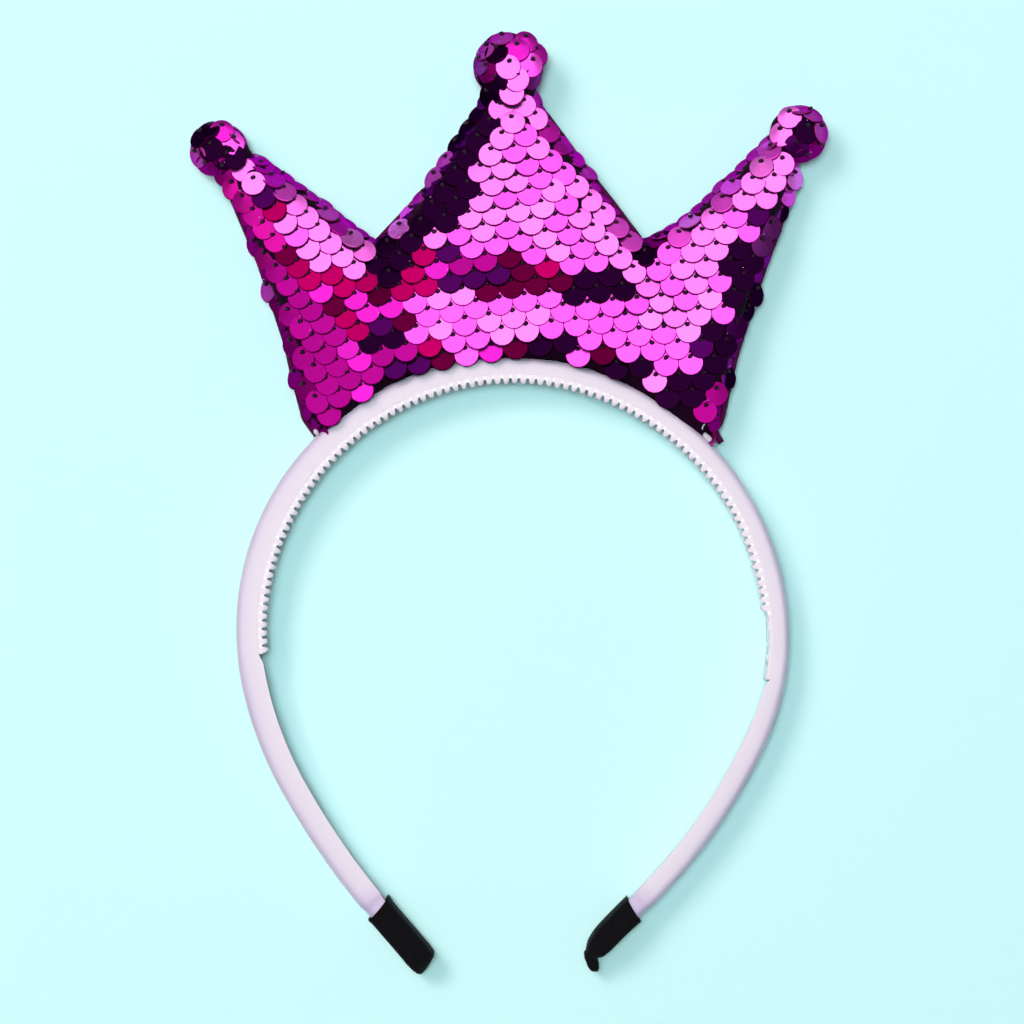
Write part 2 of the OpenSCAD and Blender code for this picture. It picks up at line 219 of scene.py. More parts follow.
def band_edge(along):
    """Points of the band's outer edge and the directions outwards, at distances from its top.

    Each side is a run of arcs that touch: a point is the arc's centre plus its radius times the
    direction, and the direction turns by the distance over the radius. The left side is mirrored.
    """
    along = np.atleast_1d(np.asarray(along, float))
    point = np.zeros((len(along), 2))
    out = np.zeros((len(along), 2))
    for side, arcs in ((1, RIGHT_ARCS), (-1, LEFT_ARCS)):
        here = along >= 0 if side > 0 else along < 0
        far = np.abs(along)
        centre = np.array([0.0, BAND_TOP - arcs[0][0] * BAND_W])
        start, angle = 0.0, 90.0
        for k, row in enumerate(arcs):
            radius = row[0] * BAND_W
            last = k == len(arcs) - 1
            on = here & (far >= start) & ((far < start + arc_span(row)) | last)
            a = math.radians(angle) - (far[on] - start) / radius
            direction = np.stack([np.cos(a), np.sin(a)], 1)
            point[on] = (centre + radius * direction) * (side, 1)
            out[on] = direction * (side, 1)
            start += arc_span(row)
            angle -= row[1]
            if not last:
                turn = math.radians(angle)
                centre = centre + (radius - arcs[k + 1][0] * BAND_W) * np.array(
                    [math.cos(turn), math.sin(turn)]
                )
    return point, out


def full_thickness(along):
    """The band's thickness with the strip: the table, smoothed over a few millimetres."""
    along = np.asarray(along, float)
    total = 0.0
    for shift in (-4.0, -2.0, 0.0, 2.0, 4.0):
        s = along + shift
        place = np.where(s < 0, s / LEFT_LEN, s / RIGHT_LEN)
        total = total + np.interp(place, THICKNESS[:, 0], THICKNESS[:, 1]) / 5
    return BAND_T * total


def padded_thickness(along):
    """The padding is thinner where the comb strip is let into it."""
    ramp = 3 * STRIP_T
    recess = np.interp(
        along,
        [-STRIP_LEFT - ramp, -STRIP_LEFT, STRIP_RIGHT, STRIP_RIGHT + ramp],
        [0, 1, 1, 0],
    )
    return full_thickness(along) - STRIP_T * recess


def ripple(a, b, seed, waves=5):
    """A smooth uneven field over two parameters: a sum of sines with seeded slopes and phases."""
    own = np.random.default_rng(seed)
    total = 0.0
    for _ in range(waves):
        fa, fb, phase = own.uniform(0.5, 1.6), own.uniform(0.5, 1.6), own.uniform(0, 6.28)
        total = total + np.sin(a * fa + b * fb * own.choice([-1, 1]) + phase) / waves
    return total


# Mesh helpers.


def unit(v):
    """Directions brought to a length of one."""
    return v / np.linalg.norm(v, axis=-1, keepdims=True)


def left_of(heading):
    """Directions in the plan a quarter turn to the left of the given ones."""
    return np.stack([-heading[:, 1], heading[:, 0]], 1)


def lifted(plan, height):
    """Points or directions from their two values in the plan and their heights."""
    height = np.broadcast_to(height, plan.shape[:-1])
    return np.concatenate([plan, height[..., None]], -1)


def run_along(points):
    """How far one has gone along a line of points at each of them."""
    steps = np.linalg.norm(np.diff(points, axis=0), axis=1)
    return np.concatenate([[0], np.cumsum(steps)])


def shade_smooth(mesh):
    """Shade all the faces smoothly."""
    mesh.polygons.foreach_set("use_smooth", np.ones(len(mesh.polygons), bool))


def write_mesh(name, points, quads, fans=()):
    """A mesh of four-sided faces and triangles from arrays of points in millimetres."""
    mesh = bpy.data.meshes.new(name)
    points = np.asarray(points, float).reshape(-1, 3)
    quads = np.asarray(quads, np.int32).reshape(-1, 4)
    fans = np.asarray(fans, np.int32).reshape(-1, 3)
    corners = np.concatenate([quads.ravel(), fans.ravel()])
    sizes = np.concatenate([np.full(len(quads), 4), np.full(len(fans), 3)]).astype(np.int32)
    starts = np.concatenate([[0], np.cumsum(sizes)[:-1]]).astype(np.int32)
    mesh.vertices.add(len(points))
    mesh.vertices.foreach_set("co", (points * MM).astype(np.float32).ravel())
    mesh.loops.add(len(corners))
    mesh.loops.foreach_set("vertex_index", corners.astype(np.int32))
    mesh.polygons.add(len(sizes))
    mesh.polygons.foreach_set("loop_start", starts)
    mesh.polygons.foreach_set("loop_total", sizes)
    shade_smooth(mesh)
    mesh.update(calc_edges=True)
    mesh.validate()
    return placed(name, mesh)


def covered(obj, material):
    """The object with its one material."""
    obj.data.materials.append(material)
    return obj


def give(obj, key, kind, values, domain="POINT"):
    """Keep values on the mesh, one for each point or edge, or four where they are colours."""
    layer = obj.data.attributes.new(key, kind, domain)
    layer.data.foreach_set("color" if kind == "FLOAT_COLOR" else "value", values)


def grid_faces(rows, columns, wrap_rows=False):
    """Faces of a grid numbered row by row, each between neighbours along both parameters. Every row
    runs round, and so do the columns where that is asked."""
    bands = rows if wrap_rows else rows - 1
    i, j = np.meshgrid(np.arange(bands), np.arange(columns), indexing="ij")
    right, down = (j + 1) % columns, (i + 1) % rows
    corners = [i * columns + j, down * columns + j, down * columns + right, i * columns + right]
    return np.stack(corners, -1).reshape(-1, 4)


def signed_volume(points, quads, fans):
    """Six times the volume that faces enclose, above zero when they point outwards."""
    tris = np.concatenate([quads[:, [0, 1, 2]], quads[:, [0, 2, 3]], fans])
    a, b, c = (points[tris[:, k]] for k in range(3))
    return float(np.einsum("ij,ij->i", a, np.cross(b, c)).sum())


def tube(name, rings, marks=None):
    """A closed skin over rings of points: neighbouring rings are joined, and each end is closed
    with a fan round its middle. Marks are values kept on the points, one for each ring point, or
    one for all of a ring or of a line along the tube."""
    rows, columns = rings.shape[:2]
    quads = grid_faces(rows, columns)
    around = np.arange(columns)
    after = (around + 1) % columns
    first = np.full(columns, rows * columns)
    base = (rows - 1) * columns
    start_fan = np.stack([first, around, after], 1)
    end_fan = np.stack([first + 1, base + after, base + around], 1)
    fans = np.concatenate([start_fan, end_fan])
    middles = np.stack([rings[0].mean(0), rings[-1].mean(0)])
    points = np.concatenate([rings.reshape(-1, 3), middles])
    if signed_volume(points, quads, fans) < 0:
        quads, fans = quads[:, ::-1], fans[:, ::-1]
    obj = write_mesh(name, points, quads, fans)
    for key, values in (marks or {}).items():
        values = np.broadcast_to(values, (rows, columns))
        values = np.concatenate([values.ravel(), [values[0].mean(), values[-1].mean()]])
        give(obj, key, "FLOAT", values.astype(np.float32))
    return obj


def through(rows, count):
    """A smooth curve through rows of values: Catmull-Rom pieces, sampled evenly."""
    rows = np.asarray(rows, float)
    padded = np.concatenate([[2 * rows[0] - rows[1]], rows, [2 * rows[-1] - rows[-2]]])
    t = np.linspace(0, len(rows) - 1, count)
    k = np.minimum(t.astype(int), len(rows) - 2)
    f = (t - k)[:, None]
    a, b, c, d = (padded[k + n] for n in range(4))
    second = (2 * a - 5 * b + 4 * c - d) * f**2
    third = (3 * b - a - 3 * c + d) * f**3
    return 0.5 * (2 * b + (c - a) * f + second + third)


def sharpen(obj, chosen):
    """Mark the edges that the test picks, given the numbers of their two points, as crisp."""
    ends = np.empty(len(obj.data.edges) * 2, np.int32)
    obj.data.edges.foreach_get("vertices", ends)
    ends = ends.reshape(-1, 2)
    give(obj, "sharp_edge", "BOOLEAN", chosen(ends[:, 0], ends[:, 1]), "EDGE")


def sharpen_lines(obj, columns, corners):
    """Mark the lines along a tube at some points of its section as crisp."""
    sharpen(obj, lambda a, b: (a % columns == b % columns) & np.isin(a % columns, corners))


def joined(name, parts):
    """One object of several."""
    graph = bmesh.new()
    for part in parts:
        graph.from_mesh(part.data)
    mesh = bpy.data.meshes.new(name)
    graph.to_mesh(mesh)
    graph.free()
    shade_smooth(mesh)
    for part in parts:
        old = part.data
        bpy.data.objects.remove(part)
        bpy.data.meshes.remove(old)
    return placed(name, mesh)


def strand(name, route, radii, sides=10, count=24, wide=1.0):
    """A thread or bead along a route: circles square to the route, their radii following the table,
    and made wider in the plan where that is asked."""
    line = through(route, count)
    radius = np.interp(np.linspace(0, 1, count), np.linspace(0, 1, len(radii)), radii)
    heading = unit(np.gradient(line, axis=0))
    across = unit(np.cross(heading, (0.03, 0.02, 1.0)))
    other = np.cross(heading, across)
    a = np.linspace(0, 2 * np.pi, sides, endpoint=False)[None, :, None]
    circle = wide * np.cos(a) * across[:, None] + np.sin(a) * other[:, None]
    return tube(name, line[:, None] + radius[:, None, None] * circle)


# Materials.

# The share of a screen colour's light that a surface sends back, because the studio light is a
# little stronger than white.
LIT = 0.69


def linear(r, g, b):
    """The base colour, as linear light, of a surface that is to look so on a screen, 0 to 255."""
    c = np.array([r, g, b]) / 255
    light = LIT * np.where(c <= 0.04045, c / 12.92, ((c + 0.055) / 1.055) ** 2.4)
    return (*[float(x) for x in light], 1.0)


class Finish:
    """A material with its shader, and short calls to add nodes to it."""

    def __init__(self, name):
        self.material = bpy.data.materials.new(name)
        self.material.use_nodes = True
        self.tree = self.material.node_tree
        self.tree.nodes.clear()
        output = self.node("ShaderNodeOutputMaterial")
        self.shader = self.node("ShaderNodeBsdfPrincipled")
        self.fill(output.inputs[0], self.shader.outputs[0])

    def node(self, kind, **values):
        """A new node with its settings."""
        made = self.tree.nodes.new(kind)
        for key, value in values.items():
            setattr(made, key, value)
        return made

    def fill(self, socket, value):
        """Link a socket to another one, or set its plain value."""
        if isinstance(value, bpy.types.NodeSocket):
            self.tree.links.new(value, socket)
        else:
            socket.default_value = value

    def set(self, **values):
        """Fill the shader's inputs, whose spaces are low lines here."""
        for key, value in values.items():
            self.fill(self.shader.inputs[key.replace("_", " ")], value)

    def attribute(self, name, output="Fac"):
        """A value or colour kept on the mesh."""
        return self.node("ShaderNodeAttribute", attribute_name=name).outputs[output]

    def math(self, operation, a, b=0.0, c=0.0):
        """One sum or function of up to three values."""
        made = self.node("ShaderNodeMath", operation=operation)
        for socket, value in zip(made.inputs, (a, b, c)):
            self.fill(socket, value)
        return made.outputs[0]

    def mix(self, share, a, b, blend="MIX"):
        """The colour a, going to b as the share goes to one."""
        made = self.node("ShaderNodeMix", data_type="RGBA", blend_type=blend)
        for number, value in ((0, share), (6, a), (7, b)):
            self.fill(made.inputs[number], value)
        return made.outputs[2]

    def ramp(self, value, stops):
        """Colours along a scale. The first two stops are its ends."""
        made = self.node("ShaderNodeValToRGB")
        line = made.color_ramp
        for k, (place, colour) in enumerate(stops):
            stop = line.elements[k] if k < 2 else line.elements.new(place)
            stop.position = place
            stop.color = colour
        self.fill(made.inputs[0], value)
        return made.outputs[0]

    def smooth(self, value, low, high):
        """A soft step from nought to one between two values."""
        made = self.node("ShaderNodeMapRange", interpolation_type="SMOOTHSTEP")
        for socket, number in zip(made.inputs, (value, low, high)):
            self.fill(socket, number)
        return made.outputs[0]

    def place(self):
        """The place on the object in metres."""
        return self.node("ShaderNodeTexCoord").outputs["Object"]

    def noise(self, scale, detail=3.0):
        """Soft uneven spots, as many to a metre as the scale says."""
        made = self.node("ShaderNodeTexNoise")
        for key, value in (("Vector", self.place()), ("Scale", scale), ("Detail", detail)):
            self.fill(made.inputs[key], value)
        return made.outputs[0]

    def bump(self, height, strength, distance):
        """Relief from a height, with its strength and its depth in metres."""
        made = self.node("ShaderNodeBump")
        for key, value in (("Height", height), ("Strength", strength), ("Distance", distance)):
            self.fill(made.inputs[key], value)
        return made.outputs[0]

    def group(self, tree, **values):
        """The outputs of a node group with its named inputs filled."""
        made = self.node("ShaderNodeGroup", node_tree=tree)
        for key, value in values.items():
            self.fill(made.inputs[key], value)
        return made.outputs


def woven_group():
    """Threads of a plain weave: two sine waves, one along each thread direction, that take turns
    to lie on top. Height is the cloth's relief, and Tone is lighter on the threads' crowns."""
    tree = bpy.data.node_groups.new("woven_threads", "ShaderNodeTree")
    for name in ("Run", "Across", "Pitch"):
        tree.interface.new_socket(name, in_out="INPUT", socket_type="NodeSocketFloat")
    for name in ("Height", "Tone"):
        tree.interface.new_socket(name, in_out="OUTPUT", socket_type="NodeSocketFloat")
    entry = tree.nodes.new("NodeGroupInput")
    leave = tree.nodes.new("NodeGroupOutput")

    def calc(operation, a, b=None):
        """One sum or function of one or two values."""
        made = tree.nodes.new("ShaderNodeMath")
        made.operation = operation
        for socket, value in zip(made.inputs, (a, b)):
            if isinstance(value, bpy.types.NodeSocket):
                tree.links.new(value, socket)
            elif value is not None:
                socket.default_value = value
        return made.outputs[0]

    waves = []
    for name in ("Run", "Across"):
        turns = calc("DIVIDE", entry.outputs[name], entry.outputs["Pitch"])
        waves.append(calc("SINE", calc("MULTIPLY", turns, 2 * math.pi)))
    over = calc("MULTIPLY", waves[0], waves[1])
    height = calc("MULTIPLY_ADD", over, 0.5)
    height.node.inputs[2].default_value = 0.5
    crowns = calc("MAXIMUM", calc("ABSOLUTE", waves[0]), calc("ABSOLUTE", waves[1]))
    tree.links.new(height, leave.inputs["Height"])
    tree.links.new(crowns, leave.inputs["Tone"])
    return tree


WOVEN = woven_group()


def satin_finish():
    """Satin with fine threads: lilac at the outer edge going to near white on the side, partly its
    tint and partly painted shade of the rounded edge, and a painted violet shade by each ribbon's
    mouth.
    """
    f = Finish("lilac_satin")
    inward = f.attribute("inward")
    run = f.attribute("run")
    shift = f.noise(70.0, 2.0)
    soft = f.math("ADD", inward, f.math("MULTIPLY", f.math("SUBTRACT", shift, 0.5), 0.22))
    # Lilac and darker at the outer edge: the satin's own tint and painted shade of the rounded edge.
    colour = f.ramp(
        soft,
        [
            (0.0, linear(214, 180, 214)),
            (1.0, linear(232, 222, 235)),
            (0.08, linear(215, 194, 224)),
            (0.22, linear(219, 208, 233)),
            (0.44, linear(227, 216, 233)),
        ],
    )
    # Painted shade: the satin turns violet where it goes into a ribbon's mouth.
    mouth = f.attribute("mouth")
    colour = f.mix(f.math("MULTIPLY", mouth, 0.55), colour, linear(186, 160, 214))
    woven = f.group(WOVEN, Run=run, Across=f.attribute("around"), Pitch=0.34)
    colour = f.mix(f.math("MULTIPLY", woven["Tone"], 0.05), colour, linear(255, 250, 255))
    f.set(Base_Color=colour, Roughness=f.math("MULTIPLY_ADD", shift, 0.12, 0.34))
    f.set(Sheen_Weight=0.25, Sheen_Roughness=0.4, Specular_IOR_Level=0.55)
    f.set(Normal=f.bump(woven["Height"], 0.12, 0.00004))
    return f.material


def comb_finish():
    """Milky clear plastic, with a painted white highlight at the roots between the upper teeth."""
    f = Finish("comb_plastic")
    cloud = f.noise(420.0, 2.0)
    milk = f.math("MULTIPLY", cloud, 0.35)
    colour = f.mix(milk, (0.63, 0.58, 0.64, 1.0), (0.50, 0.46, 0.53, 1.0))
    # Painted highlight: white at the roots between the upper teeth.
    colour = f.mix(f.attribute("root"), colour, (1.0, 1.0, 1.0, 1.0))
    f.set(Base_Color=colour, Roughness=f.math("MULTIPLY_ADD", cloud, 0.1, 0.22))
    f.set(Subsurface_Weight=0.2, Subsurface_Scale=0.0006, Subsurface_Radius=(1.0, 0.8, 1.0))
    f.set(Coat_Weight=0.15, Coat_Roughness=0.12)
    f.set(Normal=f.bump(f.noise(900.0, 2.0), 0.15, 0.00005))
    return f.material


def ribbon_finish():
    """Black grosgrain: ribs across the ribbon and fine threads along it."""
    f = Finish("black_ribbon")
    run = f.attribute("run")
    rib = f.math("SINE", f.math("MULTIPLY", run, 2 * math.pi / RIB_PITCH))
    lint = f.noise(700.0, 4.0)
    base = f.mix(f.math("MULTIPLY", lint, 0.9), linear(1, 0, 2), linear(8, 6, 9))
    colour = f.mix(f.smooth(rib, -0.6, 0.9), base, linear(11, 9, 13))
    woven = f.group(WOVEN, Run=run, Across=f.attribute("around"), Pitch=0.22)
    f.set(Base_Color=colour, Roughness=f.math("MULTIPLY_ADD", lint, 0.2, 0.68))
    f.set(Specular_IOR_Level=0.09)
    f.set(Normal=f.bump(f.math("ADD", woven["Height"], f.math("MULTIPLY", lint, 0.6)), 0.35, 0.00008))
    return f.material


def cushion_finish():
    """Dark plum net under the sequins and plain magenta cloth on the back."""
    f = Finish("crown_cloth")
    apart = f.node("ShaderNodeSeparateXYZ")
    f.fill(apart.inputs[0], f.place())
    x, y = (f.math("MULTIPLY", apart.outputs[k], 1 / MM) for k in range(2))
    woven = f.group(WOVEN, Run=x, Across=y, Pitch=0.62)
    patch = f.noise(60.0)
    front = f.mix(f.math("MULTIPLY", woven["Tone"], 0.7), linear(10, 0, 12), linear(34, 1, 32))
    back = f.mix(f.math("MULTIPLY", woven["Tone"], 0.5), linear(120, 4, 92), linear(168, 14, 128))
    back = f.mix(f.math("MULTIPLY", patch, 0.4), back, linear(140, 6, 110))
    on_front = f.smooth(apart.outputs[2], (SEAM_Z - 2.2) * MM, (SEAM_Z - 1.4) * MM)
    f.set(Base_Color=f.mix(on_front, back, front))
    f.set(Roughness=f.math("MULTIPLY_ADD", patch, 0.2, 0.6), Specular_IOR_Level=0.05)
    f.set(Normal=f.bump(woven["Height"], 0.5, 0.00015))
    return f.material


def seam_finish():
    """The turned seam's cloth and its thread."""
    f = Finish("seam_cloth")
    lint = f.noise(800.0, 3.0)
    f.set(Base_Color=f.mix(lint, linear(52, 0, 42), linear(92, 1, 72)), Roughness=0.6)
    f.set(Specular_IOR_Level=0.15, Normal=f.bump(lint, 0.4, 0.0001))
    return f.material


def sequin_finish():
    """Thin metallized film: each disc has its own tint, and its rim and back go dark, partly the cut
    rim's own colour and partly painted shade, most on a disc's lower side.
    """
    f = Finish("sequin_film")
    tint = f.attribute("tint", "Color")
    rim = f.attribute("rim")
    cloud = f.noise(260.0, 3.0)
    worn = f.mix(f.math("MULTIPLY", cloud, 0.22), tint, f.mix(0.45, tint, (0.0, 0.0, 0.0, 1.0)))
    # The rim goes dark magenta and then near black: the cut rim's own colour with painted shade under
    # each disc.
    turned = f.mix(0.12, f.mix(1.0, tint, (0.34, 0.02, 0.24, 1.0), "MULTIPLY"), linear(170, 0, 128))
    colour = f.mix(f.math("MULTIPLY", f.smooth(rim, 0.02, 0.28), 0.75), worn, turned)
    colour = f.mix(f.smooth(rim, 0.34, 0.8), colour, linear(36, 0, 32))
    scratches = f.noise(2600.0, 2.0)
    f.set(Base_Color=colour, Metallic=1.0, Roughness=f.math("MULTIPLY_ADD", cloud, 0.12, 0.22))
    f.set(Specular_Tint=(0.5, 0.12, 0.5, 1.0), Normal=f.bump(scratches, 0.08, 0.00003))
    return f.material


def thread_finish():
    """Glossy dark thread."""
    f = Finish("sequin_thread")
    twist = f.noise(2200.0, 2.0)
    f.set(Base_Color=f.mix(twist, linear(12, 0, 14), linear(44, 3, 42)), Roughness=0.4)
    f.set(Specular_IOR_Level=0.16, Normal=f.bump(twist, 0.3, 0.00005))
    return f.material


def glint_knot_finish():
    """Nylon knots in near white: painted glints."""
    f = Finish("painted_glint_knot")
    f.set(Base_Color=f.mix(f.noise(1500.0), linear(255, 236, 255), linear(236, 180, 240)), Roughness=0.15)
    f.set(Specular_IOR_Level=0.8, Coat_Weight=0.6)
    return f.material


def glue_finish():
    """Set hot glue: clear and milky in streaks."""
    f = Finish("set_glue")
    streak = f.noise(500.0, 3.0)
    f.set(Base_Color=f.mix(streak, linear(255, 252, 255), linear(232, 214, 238)), Roughness=0.18)
    f.set(Transmission_Weight=0.25, Coat_Weight=0.5, Coat_Roughness=0.05, IOR=1.48)
    f.set(Normal=f.bump(f.noise(1200.0, 2.0), 0.25, 0.00008))
    return f.material


# The band.

# Its section. Columns: depth in from the outer edge as a share of the thickness there, height as a
# share of BAND_H. The inner face, from its top down, leans in towards the table.
LOWER_CORNER = ((0.84, 0.03), (0.83, 0.001), (0.72, 0.0))
UPPER_CORNER = ((0.86, 1.0), (0.997, 0.999), (1.0, 0.97))
INNER_FACE = ((0.984, 0.9), (0.856, 0.1))
# Sides of the outer face and the power that makes it square.
BAND_SIDES = 26
FLATNESS = 0.6
# Heights of the broad and the fine ripples in the satin.
BROAD_RIPPLE, FINE_RIPPLE = 0.05, 0.022
# How far a ribbon covers the satin, how deep it presses in, and how far its shade reaches.
MOUTH_COVER, MOUTH_PRESS, MOUTH_SHADE = 3.4, 0.30, 4.5
# Distance from rib to rib along a ribbon.
RIB_PITCH = 0.62


def satin_band():
    """The satin band: a flat inner face, crisp corners and an outer face that is half a rounded
    square, whose points are powers of a sine and a cosine, all carried along the arcs. Soft ripples
    run along the satin. Under each ribbon it draws in, and past that it is a plain tongue."""
    left, right = -LEFT_LEN + TONGUE_L, RIGHT_LEN - TONGUE_L
    spans = ((-LEFT_LEN, left - 0.02, 6), (left, right, 760), (right + 0.02, RIGHT_LEN, 6))
    run = np.concatenate([np.linspace(*span) for span in spans])
    edge, out = band_edge(run)
    along = run[:, None]
    mid = full_thickness(along) / 2
    inner = padded_thickness(along)
    turn = np.radians(np.linspace(-90, 90, BAND_SIDES))
    dome = DOME_SHARE * (1 - np.cos(turn) ** FLATNESS)
    swell = (1 + np.sign(turn) * np.abs(np.sin(turn)) ** FLATNESS) / 2
    section = [LOWER_CORNER, np.stack([dome, swell], 1), UPPER_CORNER, np.linspace(*INNER_FACE, 6)]
    depth, rise = np.concatenate(section).T[:, None]
    wave = BROAD_RIPPLE * ripple(along * 0.11, rise * 2.0, 3)
    wave = wave + FINE_RIPPLE * ripple(along * 0.7, rise * 9, 4)
    on_side = np.clip(np.sin(np.pi * rise), 0, 1) * (depth < 0.97)
    d = depth * inner - wave * on_side
    z = rise * BAND_H
    from_mouth = np.minimum(along - left, right - along)
    press = MOUTH_PRESS * np.clip((MOUTH_COVER - from_mouth) / 1.2, 0, 1)
    d = d + (mid - d) / mid * press
    z = z + (BAND_H / 2 - z) / (BAND_H / 2) * press
    tongue = (along < left) | (along > right)
    tongue_h = BAND_H - 2 * SLEEVE_WALL - 2 * GAP
    d = np.where(tongue, mid + (depth - 0.5) * TONGUE_T, d)
    z = np.where(tongue, BAND_H / 2 + (rise - 0.5) * tongue_h, z)
    rings = lifted(edge[:, None] - out[:, None] * d[..., None], z)
    marks = {
        "run": along,
        "inward": np.clip(d / inner, 0, 1),
        "around": run_along(rings[len(run) // 2])[None],
        # The mouth mark carries the painted shade on the satin next to each ribbon.
        "mouth": np.clip(1 - (from_mouth - MOUTH_COVER + 1.0) / MOUTH_SHADE, 0, 1),
    }
    obj = tube("satin_band", rings, marks)
    sharpen_lines(obj, rings.shape[1], (1, len(LOWER_CORNER) + BAND_SIDES + 1))
    return covered(obj, satin_finish())


# One side of a tooth. Columns: place across it as a share of TOOTH_W, how far it stands out there.
TOOTH = np.array(
    [
        [-0.80, 0.0],
        [-0.69, 0.06],
        [-0.60, 0.26],
        [-0.52, 0.56],
        [-0.45, 0.80],
        [-0.35, 0.94],
        [-0.20, 0.99],
        [0.0, 1.0],
    ]
)
# A row of teeth from its foot to its top. Columns: share of the row's height, share of the tooth.
TOOTH_ROW = np.array(
    [
        [0.0, 0.0],
        [0.01, 0.93],
        [0.05, 0.985],
        [0.12, 1.0],
        [0.88, 1.0],
        [0.95, 0.985],
        [0.99, 0.93],
        [1.0, 0.0],
    ]
)
# How far the lower row's teeth stand out, as a share of the upper row's.
LOWER_TEETH = 0.5


def comb_strip():
    """The comb strip: a flat strip whose inner side swells into a rounded tooth at every pitch, in
    two rows, the lower one with shorter teeth. A section's points are strip thickness or tooth
    height in, carried along. The mark of the roots, a painted highlight, is 1 between the upper
    teeth, fades up a tooth, and is nought elsewhere."""
    thick = full_thickness(0.0)
    scale = 1 + thick / (LEFT_ARCS[0][0] * BAND_W - thick)
    step = TOOTH_PITCH * scale
    first = -STRIP_LEFT + 0.75 * TOOTH_W
    count = int((TEETH_RIGHT - first) // step) + 1
    places, shares = np.concatenate([TOOTH, TOOTH[-2::-1] * (-1, 1)]).T
    middles = first + np.arange(count) * step
    along = (middles[:, None] + places[None] * TOOTH_W * scale).ravel()
    bare = np.arange(along[-1] + 0.8, STRIP_RIGHT, 1.2)
    along = np.concatenate([[-STRIP_LEFT], along, bare, [STRIP_RIGHT]])

    def teeth_only(values):
        """Values for each tooth in turn, and nought on the bare ends."""
        return np.concatenate([[0.0], np.tile(values, count), 0 * bare, [0.0]])[:, None]

    swell = teeth_only(shares)
    row_h = (STRIP_H - GROOVE_W) / 2
    low, out = TOOTH_ROW[:, 0] * row_h, TOOTH_ROW[:, 1]
    z = np.concatenate([[0.03, 0.0], low, low + row_h + GROOVE_W, [STRIP_H, STRIP_H - 0.03]])
    tooth = np.concatenate([[0, 0], out * LOWER_TEETH, out, [0, 0]])[None]
    flat = [-STRIP_T, 0.015 - STRIP_T]
    back = np.concatenate([flat, 0 * low, 0 * low, flat[::-1]])
    fuller = 0.02
    depth = full_thickness(along)[:, None] + back[None] + (swell * TOOTH_L + fuller) * tooth
    at = along[:, None] + swell * (0.03 * TOOTH_W) * tooth
    edge, outward = band_edge(at.ravel())
    plan = (edge - outward * depth.ravel()[:, None]).reshape(at.shape + (2,))
    rings = lifted(plan, z[None] + (BAND_H - STRIP_H) / 2)
    columns = rings.shape[1]
    upper = np.isin(np.arange(columns), (columns - 5, columns - 4, columns - 3))
    # The root mark paints a highlight between the upper teeth.
    obj = tube("comb", rings, {"root": teeth_only(np.clip(1 - shares / 0.3, 0, 1)) * upper[None]})
    sharpen_lines(obj, columns, (1, columns - 2))
    return covered(obj, comb_finish())


# The ribbon sleeves. Rows run from the mouth to the pinched end. Columns: along and across at the
# inner side, along and across at the outer side, height share.
LEFT_SLEEVE = (
    (-1.70, -3.35, -0.65, 3.22, 1.04),
    (-0.90, -3.16, -0.20, 3.18, 1.02),
    (1.20, -3.00, 1.20, 3.12, 1.00),
    (6.00, -2.95, 6.00, 3.12, 1.00),
    (10.88, -2.91, 10.56, 3.16, 1.00),
    (12.64, -2.85, 12.16, 3.22, 0.96),
    (14.24, -2.48, 13.76, 3.16, 0.86),
    (15.04, -0.62, 15.04, 2.91, 0.70),
    (15.52, 0.87, 15.68, 2.60, 0.54),
)
RIGHT_SLEEVE = (
    (-1.35, -2.75, 0.00, 3.00, 1.04),
    (-0.60, -2.68, 0.30, 3.00, 1.02),
    (1.50, -2.62, 1.60, 2.98, 1.00),
    (4.96, -2.48, 4.96, 2.98, 1.00),
    (8.00, -2.26, 8.00, 3.10, 1.00),
    (9.92, -1.86, 9.60, 3.10, 0.98),
    (11.52, -1.27, 11.04, 2.98, 0.92),
    (12.96, -0.31, 12.16, 2.54, 0.80),
    (13.92, 0.12, 12.64, 3.29, 0.70),
    (14.72, 1.74, 13.20, 4.09, 0.66),
    (15.20, 3.29, 13.76, 4.65, 0.60),
    (14.88, 4.15, 14.24, 4.77, 0.52),
)
# Sides of a sleeve's section.
SLEEVE_SIDES = 64


def sleeve_place(side, along, across):
    """Plan points from places along and across a sleeve, measured from where its tongue begins."""
    length = LEFT_LEN if side < 0 else RIGHT_LEN
    edge, out = band_edge([side * (length - TONGUE_L)])
    middle = edge[0] - out[0] * full_thickness(side * (length - TONGUE_L)) / 2
    travel = np.array([out[0, 1], -out[0, 0]]) * side
    return middle + (along[..., None] + GAP) * travel + across[..., None] * out[0]


# The ribbon's relief: heights of its ribs and its folds, and the depth of its lengthwise crease.
RIB_RELIEF, FOLD_RELIEF, CREASE_DEPTH = 0.055, 0.10, 0.16
# The turned-in lip at a sleeve's mouth. Columns: way back inside as a share of ten rows' distance,
# and how much smaller the section is there.
SLEEVE_LIP = ((1.0, 0.5 / 3), (0.25, 0.42 / 3), (0.06, 0.18 / 3))


